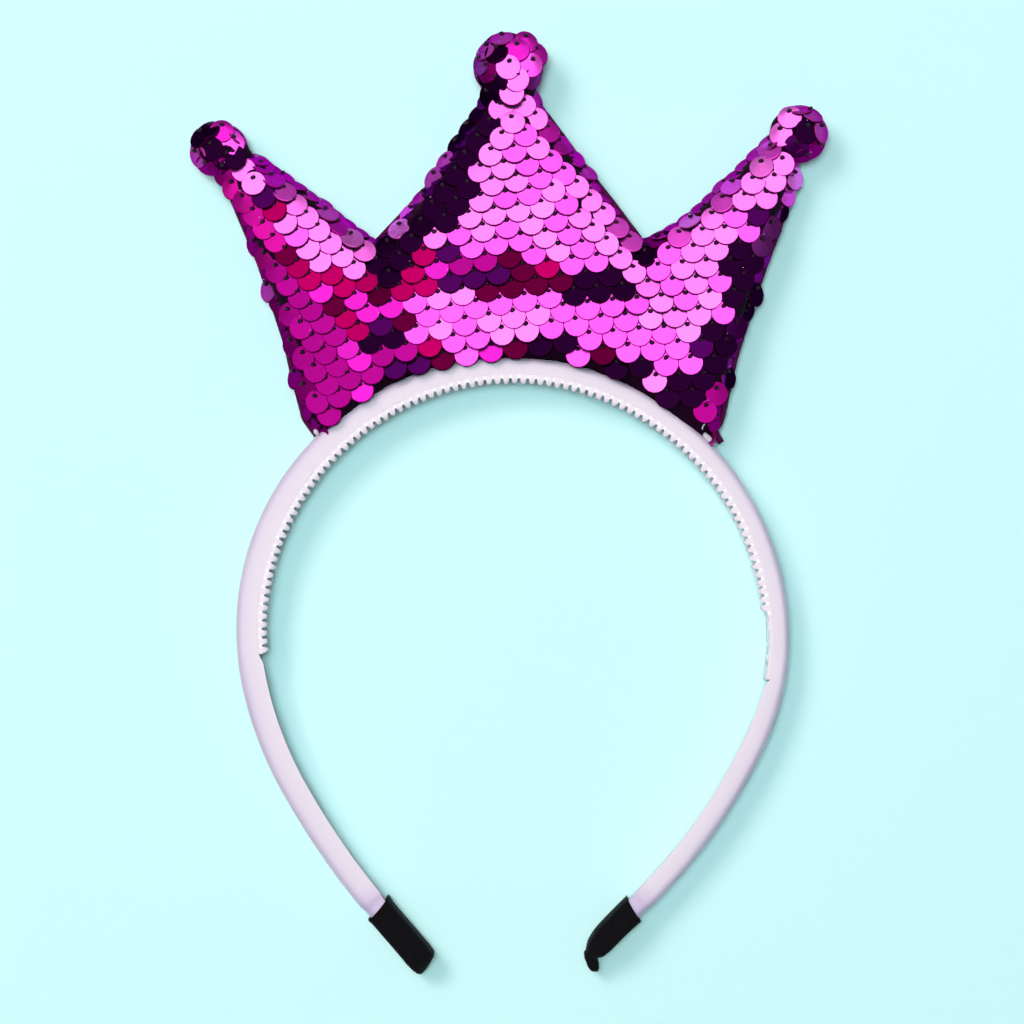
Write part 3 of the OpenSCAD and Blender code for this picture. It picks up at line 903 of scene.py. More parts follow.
def sleeve(name, side, rows, hollow, seed):
    """A ribbon tube: rounded rectangles, whose points are powers of a sine and a cosine, carried
    through the rows, with a rib at every pitch. Its slanting mouth is bowed by the hollow and turns
    back inside, and its end is pinched shut."""
    count = 150
    r = through(rows, count)
    t = np.linspace(0, 1, count)[:, None]
    a = np.linspace(0, 2 * np.pi, SLEEVE_SIDES, endpoint=False)
    power = 2 / 5.0
    cx = (np.sign(np.cos(a)) * np.abs(np.cos(a)) ** power)[None]
    cz = (np.sign(np.sin(a)) * np.abs(np.sin(a)) ** power)[None]
    run = (r[:, 0:1] + r[:, 2:3]) / 2
    share = (1 + cx) / 2
    along = r[:, 0:1] * (1 - share) + r[:, 2:3] * share
    across = r[:, 1:2] * (1 - share) + r[:, 3:4] * share
    z = r[:, 4:5] * BAND_H * (1 + cz) / 2
    along = along + hollow * (1 - cx**2) * np.clip(1 - t / 0.16, 0, 1)
    rib = RIB_RELIEF * np.cos(2 * np.pi * run / RIB_PITCH)
    crease = -CREASE_DEPTH * np.exp(-(((share - 0.34) / 0.035) ** 2))
    crease = crease * np.clip(np.sin(np.pi * np.clip((t - 0.22) / 0.6, 0, 1)), 0, 1)
    fold = FOLD_RELIEF * ripple(t * 14, share * 5, seed) * np.clip((t - 0.45) * 2, 0, 1)
    z = z + (rib + crease + fold) * np.clip(cz, 0, 1) ** 0.5 - 0.02
    across = across + (rib + fold) * cx * (np.abs(cx) > 0.9)
    rings = lifted(sleeve_place(side, along, across), np.maximum(z, 0.02))
    centre = rings[0].mean(axis=0)
    lip = []
    for back, thinner in SLEEVE_LIP:
        inner = rings[0] + (rings[10] - rings[0]) * back
        lip.append(centre + (inner - centre) * (1 - thinner))
    rings = np.concatenate([np.stack(lip), rings])
    run = np.concatenate([np.tile(run[:1], (len(lip), 1)), run])
    return covered(tube(name, rings, {"run": run, "around": 8 * a[None] / np.pi}), RIBBON)


# The crown.


def outline_points():
    """The outline's rows in the plan."""
    return np.stack([OUTLINE[:, 0] * CROWN_W, BAND_TOP + OUTLINE[:, 1] * CROWN_H], 1)


def foot_line(share):
    """The crown's foot along the band, standing off it a little, more at the right end."""
    edge, out = band_edge(-FOOT_LEFT + share * (FOOT_LEFT + FOOT_RIGHT))
    away = GAP + FOOT_LIFT * np.interp(share, [0.9, 1.0], [0.0, 1.0])
    return edge + out * np.reshape(away, (-1, 1))


def side_line(side):
    """A side edge from the foot up to the neck of its point, with its own slight bow."""
    v = np.linspace(0, 1, 30)
    rows = outline_points()
    foot = foot_line(np.array([0.0 if side < 0 else 1.0]))[0]
    top = rows[0] if side < 0 else rows[-1]
    table = LEFT_EDGE if side < 0 else RIGHT_EDGE
    bow = np.interp(v, table[:, 0], table[:, 1]) * CROWN_W * side
    return foot + (top - foot) * v[:, None] + np.stack([bow, 0 * v], 1)


def free_edges():
    """The crown's six edges between its feet and its balls, in the plan."""
    rows = outline_points()
    return [side_line(-1), rows[2:5], rows[4:7], rows[8:11], rows[10:13], side_line(1)]


def from_nearest_ball(points):
    """Distance in the plan from each point to the rim of the nearest ball, below zero over it."""
    rows = outline_points()
    return np.min([np.linalg.norm(points - rows[row], axis=1) - size / 2 for row, size in BALLS], axis=0)


def evenly_along(line, gap):
    """Points at even distances along a line of points."""
    far = run_along(line)
    at = np.linspace(0, far[-1], max(2, round(far[-1] / gap) + 1))
    return np.stack([np.interp(at, far, line[:, k]) for k in range(line.shape[1])], 1)


def vertex_values(mesh, field):
    """A mesh's points or their normals as an array."""
    values = np.empty(len(mesh.vertices) * 3, np.float32)
    mesh.vertices.foreach_get(field, values)
    return values.reshape(-1, 3)


def apply_modifiers(obj):
    """Give the object the mesh that its modifiers make, and take them off."""
    bpy.context.view_layer.update()
    graph = bpy.context.evaluated_depsgraph_get()
    obj.data = bpy.data.meshes.new_from_object(obj.evaluated_get(graph))
    obj.modifiers.clear()


# The cloth is blown up at a larger scale, from a form drawn in by the depth of the sequins.
SEQUIN_LAYER = 0.6
VOXEL = 1.7
SIM_SCALE = 5.0
SIM_FRAMES = 20
SWELL_CAP = 1.1
# The front's height above the seam, the power that fills it out, and where that fades by a ball.
PUFF = 9.6
FULLNESS = 0.62
BALL_FADE = 4.0
# How far the hem is pulled to the band, and the distance over which that fades: a wide pull and a
# short one right at the band.
HEM_REACH, HEM_DEPTH = 2.6, 7.0
HEM_MORE, HEM_LIP = 1.7, 3.5
TABLE_GAP = 0.15


def crown_cushion():
    """The stuffed crown: the solid drawn in by the depth of the sequins and meshed evenly, then
    blown up as cloth. No point moves further than the cap, and none sinks into the table. The
    front's height is raised to a power below one, so that it bends down close to its edges. The
    hem is pulled to the band: a point near it moves by its distance or the reach, whichever is
    less, and both that reach and the short extra pull fade evenly with the distance."""
    mesh = frame["nodes"]["crown"].data.copy()
    graph = bmesh.new()
    graph.from_mesh(mesh)
    bmesh.ops.remove_doubles(graph, verts=graph.verts, dist=1e-6)
    bmesh.ops.recalc_face_normals(graph, faces=graph.faces)
    graph.normal_update()
    graph.to_mesh(mesh)
    graph.free()
    drawn = vertex_values(mesh, "co") - vertex_values(mesh, "normal") * SEQUIN_LAYER * MM
    mesh.vertices.foreach_set("co", (drawn * SIM_SCALE).ravel())
    obj = placed("crown_cushion", mesh)
    even = obj.modifiers.new("even", "REMESH")
    even.mode = "VOXEL"
    even.voxel_size = VOXEL * MM * SIM_SCALE
    apply_modifiers(obj)
    before = vertex_values(obj.data, "co").astype(float)
    cloth = obj.modifiers.new("stuffing", "CLOTH")
    cloth.settings.quality = 6
    cloth.settings.mass = 0.3
    cloth.settings.use_pressure = True
    cloth.settings.uniform_pressure_force = 4.0
    cloth.settings.effector_weights.gravity = 0.0
    cloth.settings.tension_stiffness = 8.0
    cloth.settings.compression_stiffness = 8.0
    cloth.point_cache.frame_start = 1
    cloth.point_cache.frame_end = SIM_FRAMES
    for number in range(1, SIM_FRAMES + 1):
        bpy.context.scene.frame_set(number)
    apply_modifiers(obj)
    bpy.context.scene.frame_set(1)
    after = vertex_values(obj.data, "co").astype(float)
    move = after - before
    far = np.linalg.norm(move, axis=1, keepdims=True)
    cap = SWELL_CAP * MM * SIM_SCALE
    after = before + move * np.minimum(1, cap / np.maximum(far, 1e-9))
    after /= SIM_SCALE
    off_ball = from_nearest_ball(after[:, :2] / MM)
    above = np.clip((after[:, 2] / MM - SEAM_Z) / PUFF, 0, 1)
    fuller = PUFF * (above**FULLNESS - above) * np.clip(off_ball / BALL_FADE, 0, 1)
    after[:, 2] = np.maximum(after[:, 2] + fuller * MM, TABLE_GAP * MM)
    far, way = to_line(after[:, :2] / MM, foot_line(np.linspace(0, 1, 120)))
    pull = np.minimum(far, HEM_REACH * np.clip(1 - far / HEM_DEPTH, 0, 1))
    pull = pull + HEM_MORE * np.clip(1 - far / HEM_LIP, 0, 1)
    after[:, :2] -= unit(way) * pull[:, None] * MM
    obj.data.vertices.foreach_set("co", after.astype(np.float32).ravel())
    finer = obj.modifiers.new("finer", "SUBSURF")
    finer.levels = finer.render_levels = 1
    apply_modifiers(obj)
    shade_smooth(obj.data)
    obj.data.materials.clear()
    return covered(obj, cushion_finish())


# Brushed patches of the flip sequins, in the order in which they were stroked; their tints are partly
# the film's own two sides and partly painted reflection and shade. Columns: where a stroke starts and
# ends, or only its place where it is a dab, its half width, the tint that it leaves.
STROKES = (
    (-60.6, 68.2, -49.9, 45.7, 5.1, "magenta"),
    (-47.7, 45.7, -37.5, 17.5, 7.9, "magenta"),
    (-31.0, 22.5, 1.9, "hot"),
    (-37.2, 48.7, -35.3, 38.8, 2.8, "crimson"),
    (-32.5, 44.0, -30.4, 41.0, 2.6, "hot"),
    (-30.6, 47.0, -17.3, 47.2, 2.8, "crimson"),
    (-40.2, 44.8, 1.9, "hot"),
    (-25.7, 42.7, 1.9, "hot"),
    (-28.0, 45.0, 1.7, "wine"),
    (-38.1, 42.5, 1.9, "wine"),
    (-22.3, 39.5, 2.1, "wine"),
    (-28.2, 50.4, -19.7, 56.4, 3.0, "night"),
    (-3.9, 86.3, -7.1, 77.1, 1.8, "night"),
    (-7.1, 77.1, -17.1, 59.6, 3.6, "night"),
    (-12.6, 54.2, 2.4, "plum"),
    (-15.2, 50.4, -10.3, 50.8, 2.1, "magenta"),
    (-12.6, 47.0, -2.4, 50.0, 2.4, "plum"),
    (-0.2, 53.2, 6.2, 46.5, 2.4, "wine"),
    (11.3, 47.2, 2.1, "wine"),
    (-5.1, 44.8, 0.4, 45.3, 1.9, "wine"),
    (8.3, 50.0, 1.7, "crimson"),
    (14.1, 44.2, 17.1, 48.7, 2.6, "night"),
    (17.1, 48.5, 25.7, 45.9, 2.6, "night"),
    (-29.5, 34.8, -24.4, 35.6, 2.6, "night"),
    (-22.3, 32.8, -29.1, 27.5, 2.1, "magenta"),
    (-24.0, 28.8, -18.8, 30.1, 2.4, "plum"),
    (-17.1, 33.3, 2.1, "crimson"),
    (-14.1, 30.7, 2.1, "wine"),
    (1.7, 33.1, 2.1, "wine"),
    (7.1, 33.5, 12.8, 35.0, 2.4, "night"),
    (-3.4, 32.4, 1.9, "hot"),
    (20.5, 32.6, 2.1, "wine"),
    (20.5, 29.2, 30.0, 29.4, 2.4, "night"),
    (45.8, 36.3, 45.8, 28.1, 3.0, "night"),
    (38.1, 25.6, 43.7, 26.4, 2.6, "night"),
    (36.0, 22.8, 41.9, 22.8, 2.6, "night"),
    (41.7, 33.1, 1.9, "plum"),
    (58.6, 62.4, 53.1, 51.7, 3.2, "night"),
    (50.1, 54.2, 50.2, 40.5, 3.0, "night"),
    (53.7, 62.0, 2.2, "plum"),
    (9.6, 79.1, 15.4, 73.5, 2.1, "hot"),
    (30.4, 54.2, 2.6, "night"),
    (-34.6, 32.7, -31.9, 30.3, 1.9, "hot"),
    (-32.2, 37.1, 1.9, "crimson"),
    (-27.1, 37.8, 1.9, "plum"),
    (-18.1, 52.9, 1.9, "crimson"),
    (-15.6, 57.0, 1.9, "pale"),
    (-4.9, 51.8, 1.9, "magenta"),
    (-15.1, 49.9, 1.9, "hot"),
    (49.1, 37.4, 2.2, "plum"),
    (45.0, 23.5, 42.2, 19.4, 2.4, "magenta"),
    (-58.5, 67.9, -53.8, 59.8, 2.9, "rose"),
    (-49.9, 56.5, -51.9, 52.6, 2.5, "rose"),
    (-52.5, 49.0, -51.0, 46.0, 1.8, "mauve"),
    (-55.2, 74.1, -49.4, 69.3, 2.1, "hot"),
    (-46.5, 66.6, 1.8, "bright"),
    (-44.2, 64.3, -39.2, 58.5, 2.4, "pale"),
    (-47.4, 60.6, 1.8, "pale"),
    (-44.7, 57.6, 1.6, "bright"),
    (-41.7, 55.0, -39.3, 52.5, 1.9, "pale"),
    (-33.9, 53.2, -32.4, 50.8, 2.1, "pale"),
    (-57.3, 71.2, -54.4, 68.9, 1.9, "pale"),
    (-52.2, 66.2, 1.6, "plum"),
    (-49.8, 63.4, 1.6, "crimson"),
    (-46.5, 53.5, 1.8, "wine"),
    (-43.9, 51.4, -42.6, 48.7, 1.9, "crimson"),
    (-34.2, 58.9, 1.7, "hot"),
    (-39.3, 64.0, -37.4, 61.6, 1.6, "mauve"),
    (-59.5, 74.0, -61.2, 73.7, 1.8, "night"),
    (56.5, 58.5, 54.7, 55.6, 1.7, "dusk"),
    (30.9, 57.2, 1.7, "magenta"),
)
# Tints of the film, as light that it sends back; the lighter and darker tints also carry painted
# reflection and shade.
TINTS = {
    "bright": (0.92, 0.082, 0.73),
    "pale": (0.95, 0.165, 0.77),
    "hot": (0.56, 0.012, 0.40),
    "magenta": (0.28, 0.002, 0.165),
    "mauve": (0.54, 0.055, 0.38),
    "rose": (0.46, 0.005, 0.24),
    "crimson": (0.32, 0.0, 0.075),
    "wine": (0.075, 0.0, 0.022),
    "plum": (0.046, 0.001, 0.060),
    "night": (0.012, 0.0005, 0.016),
    "violet": (0.24, 0.035, 0.23),
    "dusk": (0.10, 0.012, 0.11),
}
# A disc's radius, its hole's radius, and how far the hole lies above its middle.
SEQUIN_R, HOLE_R, HOLE_UP = 2.74, 0.42, 1.25
# How the rows of sequins drift over the form. Columns: power of an eighth of the step across,
# power of a tenth of the row counted from eight rows down, mm across and mm up.
ROW_DRIFT = (
    (0, 0, 3.60, 43.63),
    (0, 1, -2.25, 32.45),
    (0, 2, -0.41, -0.71),
    (0, 3, 0.42, 0.03),
    (1, 0, 42.14, 5.58),
    (1, 1, -0.78, 0.53),
    (1, 2, -0.72, -0.49),
    (2, 0, 0.58, -1.67),
    (2, 1, -0.67, 0.88),
    (3, 0, -0.94, 0.19),
)
# How far a disc leans back on the one below, in degrees.
SHINGLE = 10.0
SEQUIN_SIDES = 16
# Rings of a disc. Columns: share of the way from the hole's circle to the rim's, height.
DISC_RINGS = np.array([[0.0, 0.0], [0.915, 0.0], [0.955, -0.03], [1.0, -0.22], [0.5, -0.24]])
# The front's rows keep this far from the foot and come this far over a ball's rim.
FOOT_MARGIN, BALL_OVERLAP = 0.9, 2.3
# Light discs this near an edge, and this far from the balls, are seen from the side and take the darker
# mauve tint as painted shade.
SIDE_ON_EDGE, SIDE_ON_BALL = 1.1, 4.0
# How far the discs lean near a free edge. Columns: distance from it, least lean, most lean.
EDGE_LEAN = np.array([[0.4, 52, 60], [1.6, 36, 46], [3.2, 0, 26], [5.0, 0, 14]])
# The share of that lean that they lose beside a ball.
NECK_FLATTER = 0.65
# The row that turns over a free edge: its step, its place in from the edge and above the seam.
EDGE_STEP, EDGE_INSET, EDGE_RISE = 3.3, 1.2, 1.4
# Rings of discs round a ball. Columns: elevation in degrees, how far they are set in.
BALL_RINGS = ((22.0, 0.75), (0.0, 0.22), (-26.0, 0.3))
RING_STEP = 3.9
# The discs on a ball's top lie within this share of its radius.
TOP_REACH = 0.88
# A disc shows its thread where its face points up at least this far, and some have a knot too, near white
# as a painted glint.
RAISED = 0.45
GLINT_KNOT_SHARE = 0.3


def to_strokes(points):
    """Tint names at plan points: the last stroke that covers a point wins. Where none does, the film
    is bright or pale by chance, and pale more often towards the crown's points."""
    share = np.interp(points[:, 1], [40, 58], [0.2, 0.6])
    names = np.where(rng.random(len(points)) < share, "pale", "bright").astype(object)
    for *ends, half, tint in STROKES:
        a, b = np.array(ends[:2]), np.array(ends[-2:])
        span = b - a
        t = np.clip((points - a) @ span / max(span @ span, 1e-9), 0, 1)
        away = np.linalg.norm(points - (a + t[:, None] * span), axis=1)
        names[away < half + 0.15] = tint
    return names


def lattice():
    """Plan points of the sequins' middles: rows that drift by ROW_DRIFT, every other one shifted by
    half a step. The second answer is each row's heading there."""
    rows = np.arange(-24, 9)
    columns = np.arange(-15, 16)
    j, i = np.meshgrid(rows, columns, indexing="ij")
    step = (i + np.where(j % 2 == 0, 0, 0.5)).ravel() / 8
    row = (j.ravel() + 8) / 10
    points, heading = np.zeros((len(row), 2)), np.zeros((len(row), 2))
    for across, up, x, y in ROW_DRIFT:
        points += (step**across * row**up)[:, None] * (x, y)
        heading += (across * step ** max(across - 1, 0) * row**up)[:, None] * (x, y)
    return points, unit(heading)


def to_line(points, line):
    """Distance from each point to a line of points, and the way from the line's nearest point."""
    a, b = line[:-1], line[1:]
    span = b - a
    rel = points[:, None] - a[None]
    t = np.clip((rel * span[None]).sum(-1) / (span * span).sum(-1)[None], 0, 1)
    way = rel - t[..., None] * span[None]
    far = np.linalg.norm(way, axis=-1)
    nearest = far.argmin(1)
    rows = np.arange(len(points))
    return far[rows, nearest], way[rows, nearest]


def inside(points, ring):
    """Whether points lie inside a closed ring, by counting the ring's crossings to their right."""
    a, b = ring, np.roll(ring, -1, axis=0)
    px, py = points[:, 0:1], points[:, 1:2]
    crosses = (a[None, :, 1] > py) != (b[None, :, 1] > py)
    rise, run = (b[:, 1] - a[:, 1])[None], (b[:, 0] - a[:, 0])[None]
    with np.errstate(divide="ignore", invalid="ignore"):
        at = a[None, :, 0] + (py - a[None, :, 1]) / rise * run
    return (crosses & (px < at)).sum(1) % 2 == 1


def crown_ring():
    """The crown's whole outline in the plan."""
    rows = outline_points()
    foot = foot_line(np.linspace(0, 1, 60))
    return np.concatenate([side_line(-1), rows[1:-1], side_line(1)[::-1], foot[::-1]])


def outward_of(points, ring):
    """Directions square to a line on the outline, turned to point out of it."""
    outward = left_of(unit(np.gradient(points, axis=0)))
    outward[inside(points + outward, ring)] *= -1
    return outward


class Cushion:
    """The stuffed form as something to lay sequins on."""

    def __init__(self, obj):
        places = vertex_values(obj.data, "co").astype(float) / MM
        faces = [tuple(p.vertices) for p in obj.data.polygons]
        self.tree = BVHTree.FromPolygons([Vector(p) for p in places], faces)

    def height(self, x, y):
        """The form's height straight above a plan point, where it has one."""
        hit = self.tree.ray_cast(Vector((x, y, 60.0)), Vector((0, 0, -1)))
        return hit[0].z if hit[0] is not None else None

    def on_top(self, points):
        """Height above each plan point and the slope there, from heights a little to each side."""
        reach = 2.0
        found = np.zeros((len(points), 3))
        normal = np.zeros((len(points), 3))
        for k, (x, y) in enumerate(points):
            z = self.height(x, y)
            level = SEAM_Z if z is None else z
            sides = []
            for dx, dy in ((reach, 0), (-reach, 0), (0, reach), (0, -reach)):
                side = self.height(x + dx, y + dy)
                sides.append(level - 1.5 if side is None else max(side, level - 3.5))
            normal[k] = ((sides[1] - sides[0]) / (2 * reach), (sides[3] - sides[2]) / (2 * reach), 1)
            found[k] = (x, y, level)
        return found, unit(normal)

    def clearance(self, places, normals, ups):
        """How far each disc must rise so that its face, leaning by the tilt, clears the form."""
        tilt = np.full(len(places), math.radians(SHINGLE))
        across, up, _ = disc_frames(normals, ups, tilt, 0 * tilt)
        lift = np.full(len(places), 0.35)
        for dx, dy in ((0, 2.2), (0, -2.2), (2.2, 0), (-2.2, 0), (0, 1.1), (1.6, 1.6), (-1.6, 1.6)):
            spots = places + across * dx + up * dy
            heights = np.array([self.height(x, y) or -9.0 for x, y in spots[:, :2]])
            lift = np.maximum(lift, heights - spots[:, 2] + 0.12)
        return np.minimum(lift, 1.7)

    def nearest(self, points):
        """The cushion's own points nearest to the given ones, and its normals there."""
        found = [self.tree.find_nearest(Vector(p)) for p in points]
        return np.array([tuple(f[0]) for f in found]), np.array([tuple(f[1]) for f in found])


def disc_frames(normal, up, tilt, spin):
    """Three directions for each disc: across, up its face and out of it. The face leans back by
    the tilt, as a roof tile does on the one below, and is turned in its plane by the spin."""
    up = unit(up - normal * (up * normal).sum(-1, keepdims=True))
    across = np.cross(up, normal)
    c, s = np.cos(spin)[:, None], np.sin(spin)[:, None]
    up, across = up * c + across * s, across * c - up * s
    c, s = np.cos(tilt)[:, None], np.sin(tilt)[:, None]
    return across, up * c - normal * s, normal * c + up * s


def repeated(faces, count, points):
    """The faces of one body, repeated for each of a number of bodies with as many points."""
    shift = np.arange(count)[:, None, None] * points
    return (faces[None] + shift).reshape(-1, faces.shape[1])


def sequin_mesh(middle, across, up, out, bend, tints):
    """Cupped discs, each a closed skin of five rings: the hole's edge, two rings near the rim, the
    rim, which turns down, and a ring on the back. A ring's point is a share of the way from the
    hole's circle to the rim's, and the disc bends by the square of the distance from its middle.
    The rim's mark, painted shade over the rim's own darker colour, is strongest on a disc's lower side,
    where it turns away from the light."""
    a = np.linspace(0, 2 * np.pi, SEQUIN_SIDES, endpoint=False)
    circle = np.stack([np.cos(a), np.sin(a)], 1)
    hole = circle * HOLE_R + (0, HOLE_UP)
    rim = circle * SEQUIN_R
    local = np.stack([hole * (1 - s) + rim * s for s in DISC_RINGS[:, 0]])
    square = (local**2).sum(-1) / SEQUIN_R**2
    z = -bend[:, None, None] * square[None] + DISC_RINGS[None, :, 1:2]
    points = (
        middle[:, None, None]
        + across[:, None, None] * local[None, ..., 0:1]
        + up[:, None, None] * local[None, ..., 1:2]
        + out[:, None, None] * z[..., None]
    )
    rings, sides = local.shape[:2]
    one = grid_faces(rings, sides, True)
    flat = points[0].reshape(-1, 3)
    if signed_volume(flat - flat.mean(0), one, np.zeros((0, 3), int)) < 0:
        one = one[:, ::-1]
    obj = write_mesh("sequins", points, repeated(one, len(middle), rings * sides))
    rgba = np.concatenate([tints, np.ones((len(tints), 1))], 1)
    give(obj, "tint", "FLOAT_COLOR", np.repeat(rgba, rings * sides, axis=0).astype(np.float32).ravel())
    sharpen(obj, lambda a, b: (a // sides == b // sides) & ((a // sides) % rings != rings - 1))
    # Painted shade on the rim, strongest on each disc's lower side.
    lower = np.clip(0.62 - 0.5 * circle[:, 1], 0.3, 1)
    marks = np.stack([0 * lower, 0 * lower, 0 * lower + 0.3, 0.3 + 0.7 * lower, 0 * lower + 0.8])
    give(obj, "rim", "FLOAT", np.tile(marks.ravel(), len(middle)).astype(np.float32))
    return covered(obj, sequin_finish())


def stitch_mesh(middle, across, up, out):
    """Short stitches: five-sided threads that rise out of each hole and go down past the disc's
    upper edge, on a half sine of height."""
    steps, sides = 6, 5
    t = np.linspace(0, 1, steps)
    along = HOLE_UP - 0.36 + t * 0.95
    rise = -0.30 + 0.42 * np.sin(np.pi * (0.12 + 0.8 * t))
    radius = 0.41 * np.array([0.75, 1.1, 1.2, 1.1, 0.9, 0.7])
    a = np.linspace(0, 2 * np.pi, sides, endpoint=False)
    x = np.cos(a)[None] * radius[:, None] * 1.25
    z = rise[:, None] + np.sin(a)[None] * radius[:, None]
    y = along[:, None] + 0 * x
    lean = rng.uniform(-0.3, 0.3, len(middle))[:, None, None] * t[None, :, None]
    points = (
        middle[:, None, None]
        + across[:, None, None] * (x[None] + lean)[..., None]
        + up[:, None, None] * y[None, ..., None]
        + out[:, None, None] * z[None, ..., None]
    )
    quads = grid_faces(steps, sides)
    cap = np.array([[0, 1, 2], [0, 2, 3], [0, 3, 4]])
    fans = np.concatenate([cap, cap[:, [0, 2, 1]] + (steps - 1) * sides])
    flat = points[0].reshape(-1, 3)
    if signed_volume(flat - flat.mean(0), quads, fans[:0]) < 0:
        quads = quads[:, ::-1]
    else:
        fans = fans[:, ::-1]
    every = [repeated(faces, len(middle), steps * sides) for faces in (quads, fans)]
    return covered(write_mesh("sequin_stitches", points, *every), thread_finish())


def glint_knot_mesh(places, size):
    """Small eight-faced knots, near white as painted glints."""
    corners = np.array([[1, 0, 0], [0, 1, 0], [-1, 0, 0], [0, -1, 0], [0, 0, 1], [0, 0, -1]], float)
    upper = np.array([[0, 1, 4], [1, 2, 4], [2, 3, 4], [3, 0, 4]])
    lower = np.array([[1, 0, 5], [2, 1, 5], [3, 2, 5], [0, 3, 5]])
    points = places[:, None] + corners[None] * size[:, None, None]
    fans = repeated(np.concatenate([upper, lower]), len(places), len(corners))
    return covered(write_mesh("painted_glint_knots", points, np.zeros((0, 4)), fans), glint_knot_finish())


def batch(place, normal, up, names, tilt, bend):
    """Values for some sequins, where one up, tilt in degrees or bend for all of them is spread out."""
    count = len(place)
    up = np.broadcast_to(up, (count, 3))
    return place, normal, up, names, np.broadcast_to(tilt, count), np.broadcast_to(bend, count)


def front_rows(cushion, ring):
    """The rows over the front. A disc leans as the form does there, but no less and no more than the
    tables for its distance from the nearest free edge allow. It lies flatter near a ball's neck and
    near the band, and rises until it clears the form."""
    plan, heading = lattice()
    within = inside(plan, ring)
    plan, heading = plan[within], heading[within]
    found = [to_line(plan, line) for line in free_edges()]
    nearest = np.argmin([far for far, _ in found], axis=0)
    picked = np.arange(len(plan))
    from_edge = np.array([far for far, _ in found])[nearest, picked]
    way = -unit(np.array([w for _, w in found])[nearest, picked])
    from_foot = to_line(plan, foot_line(np.linspace(0, 1, 60)))[0]
    from_ball = from_nearest_ball(plan)
    margin = np.interp(from_foot, [3, 6], [1.7, 0.5])
    keep = (from_edge > margin) & (from_foot > FOOT_MARGIN) & (from_ball > -BALL_OVERLAP)
    plan, heading, way = plan[keep], heading[keep], way[keep]
    from_foot, from_edge, from_ball = from_foot[keep], from_edge[keep], from_ball[keep]
    names = to_strokes(plan)
    # Painted shade: light discs seen from the side take the darker mauve tint.
    side_on = (from_edge < SIDE_ON_EDGE) & (from_ball > SIDE_ON_BALL)
    names[side_on & ((names == "bright") | (names == "pale"))] = "mauve"
    place, _ = cushion.on_top(plan)
    place, slope = cushion.on_top(as_seen(plan, place[:, 2]))
    near_ball = np.interp(from_ball, [1.5, 7.0], [NECK_FLATTER, 0.0])
    neck = 1 - near_ball * np.interp(from_edge, [0.8, 2.0], [0.0, 1.0])
    least = neck * np.interp(from_edge, EDGE_LEAN[:, 0], EDGE_LEAN[:, 1])
    most = neck * np.interp(from_edge, EDGE_LEAN[:, 0], EDGE_LEAN[:, 2])
    tip = np.radians(np.clip(np.degrees(np.arccos(slope[:, 2])), least, most))
    tip = tip * np.interp(from_foot, [2.0, 7.0], [0.2, 1.0])
    side = unit(slope[:, :2] + way * np.interp(from_edge, [1.5, 4.0], [0.6, 0.0])[:, None] + 1e-6)
    normal = lifted(side * np.sin(tip)[:, None], np.cos(tip))
    up = lifted(left_of(heading), 0)
    place[:, 2] += cushion.clearance(place, normal, up)
    place[:, 2] = np.maximum(place[:, 2], np.where(from_foot < 3.0, BAND_H + 0.45, 0))
    return batch(place, normal, up, names, SHINGLE, 0.10 + 0.16 * (from_edge < 2.5))


def edge_row(cushion, ring, line):
    """A row of sequins turned over a free edge: each faces out and up, with a share of the form's own
    direction, and the light and the dark tints are toned down to mauve, violet and dusk as painted
    reflection and shade."""
    points = evenly_along(line, EDGE_STEP)
    outward = outward_of(points, ring)
    clear = from_nearest_ball(points) > 0.2
    points, outward = points[clear], outward[clear]
    on, lean = cushion.nearest(lifted(points - outward * EDGE_INSET, SEAM_Z + EDGE_RISE))
    lean = unit(0.3 * lean + 0.7 * lifted(outward * 0.78, 0.62))
    lean = unit(lean + rng.normal(0, 0.04, lean.shape))
    on = on + lean * 0.3
    up = lifted(outward * 0.2, 0) + (0.0, 1.0, 0.0)
    names = to_strokes(on[:, :2] - outward * 2.0)
    # Painted reflection and shade on discs that face sideways: light tints become mauve, dark ones violet
    # at the right and dusk at the left.
    names[(names == "bright") | (names == "pale")] = "mauve"
    dark = (names == "night") | (names == "plum")
    names[dark] = np.where(on[dark, 0] > 40, "violet", "dusk")
    return batch(on, lean, up, names, SHINGLE, 0.2)


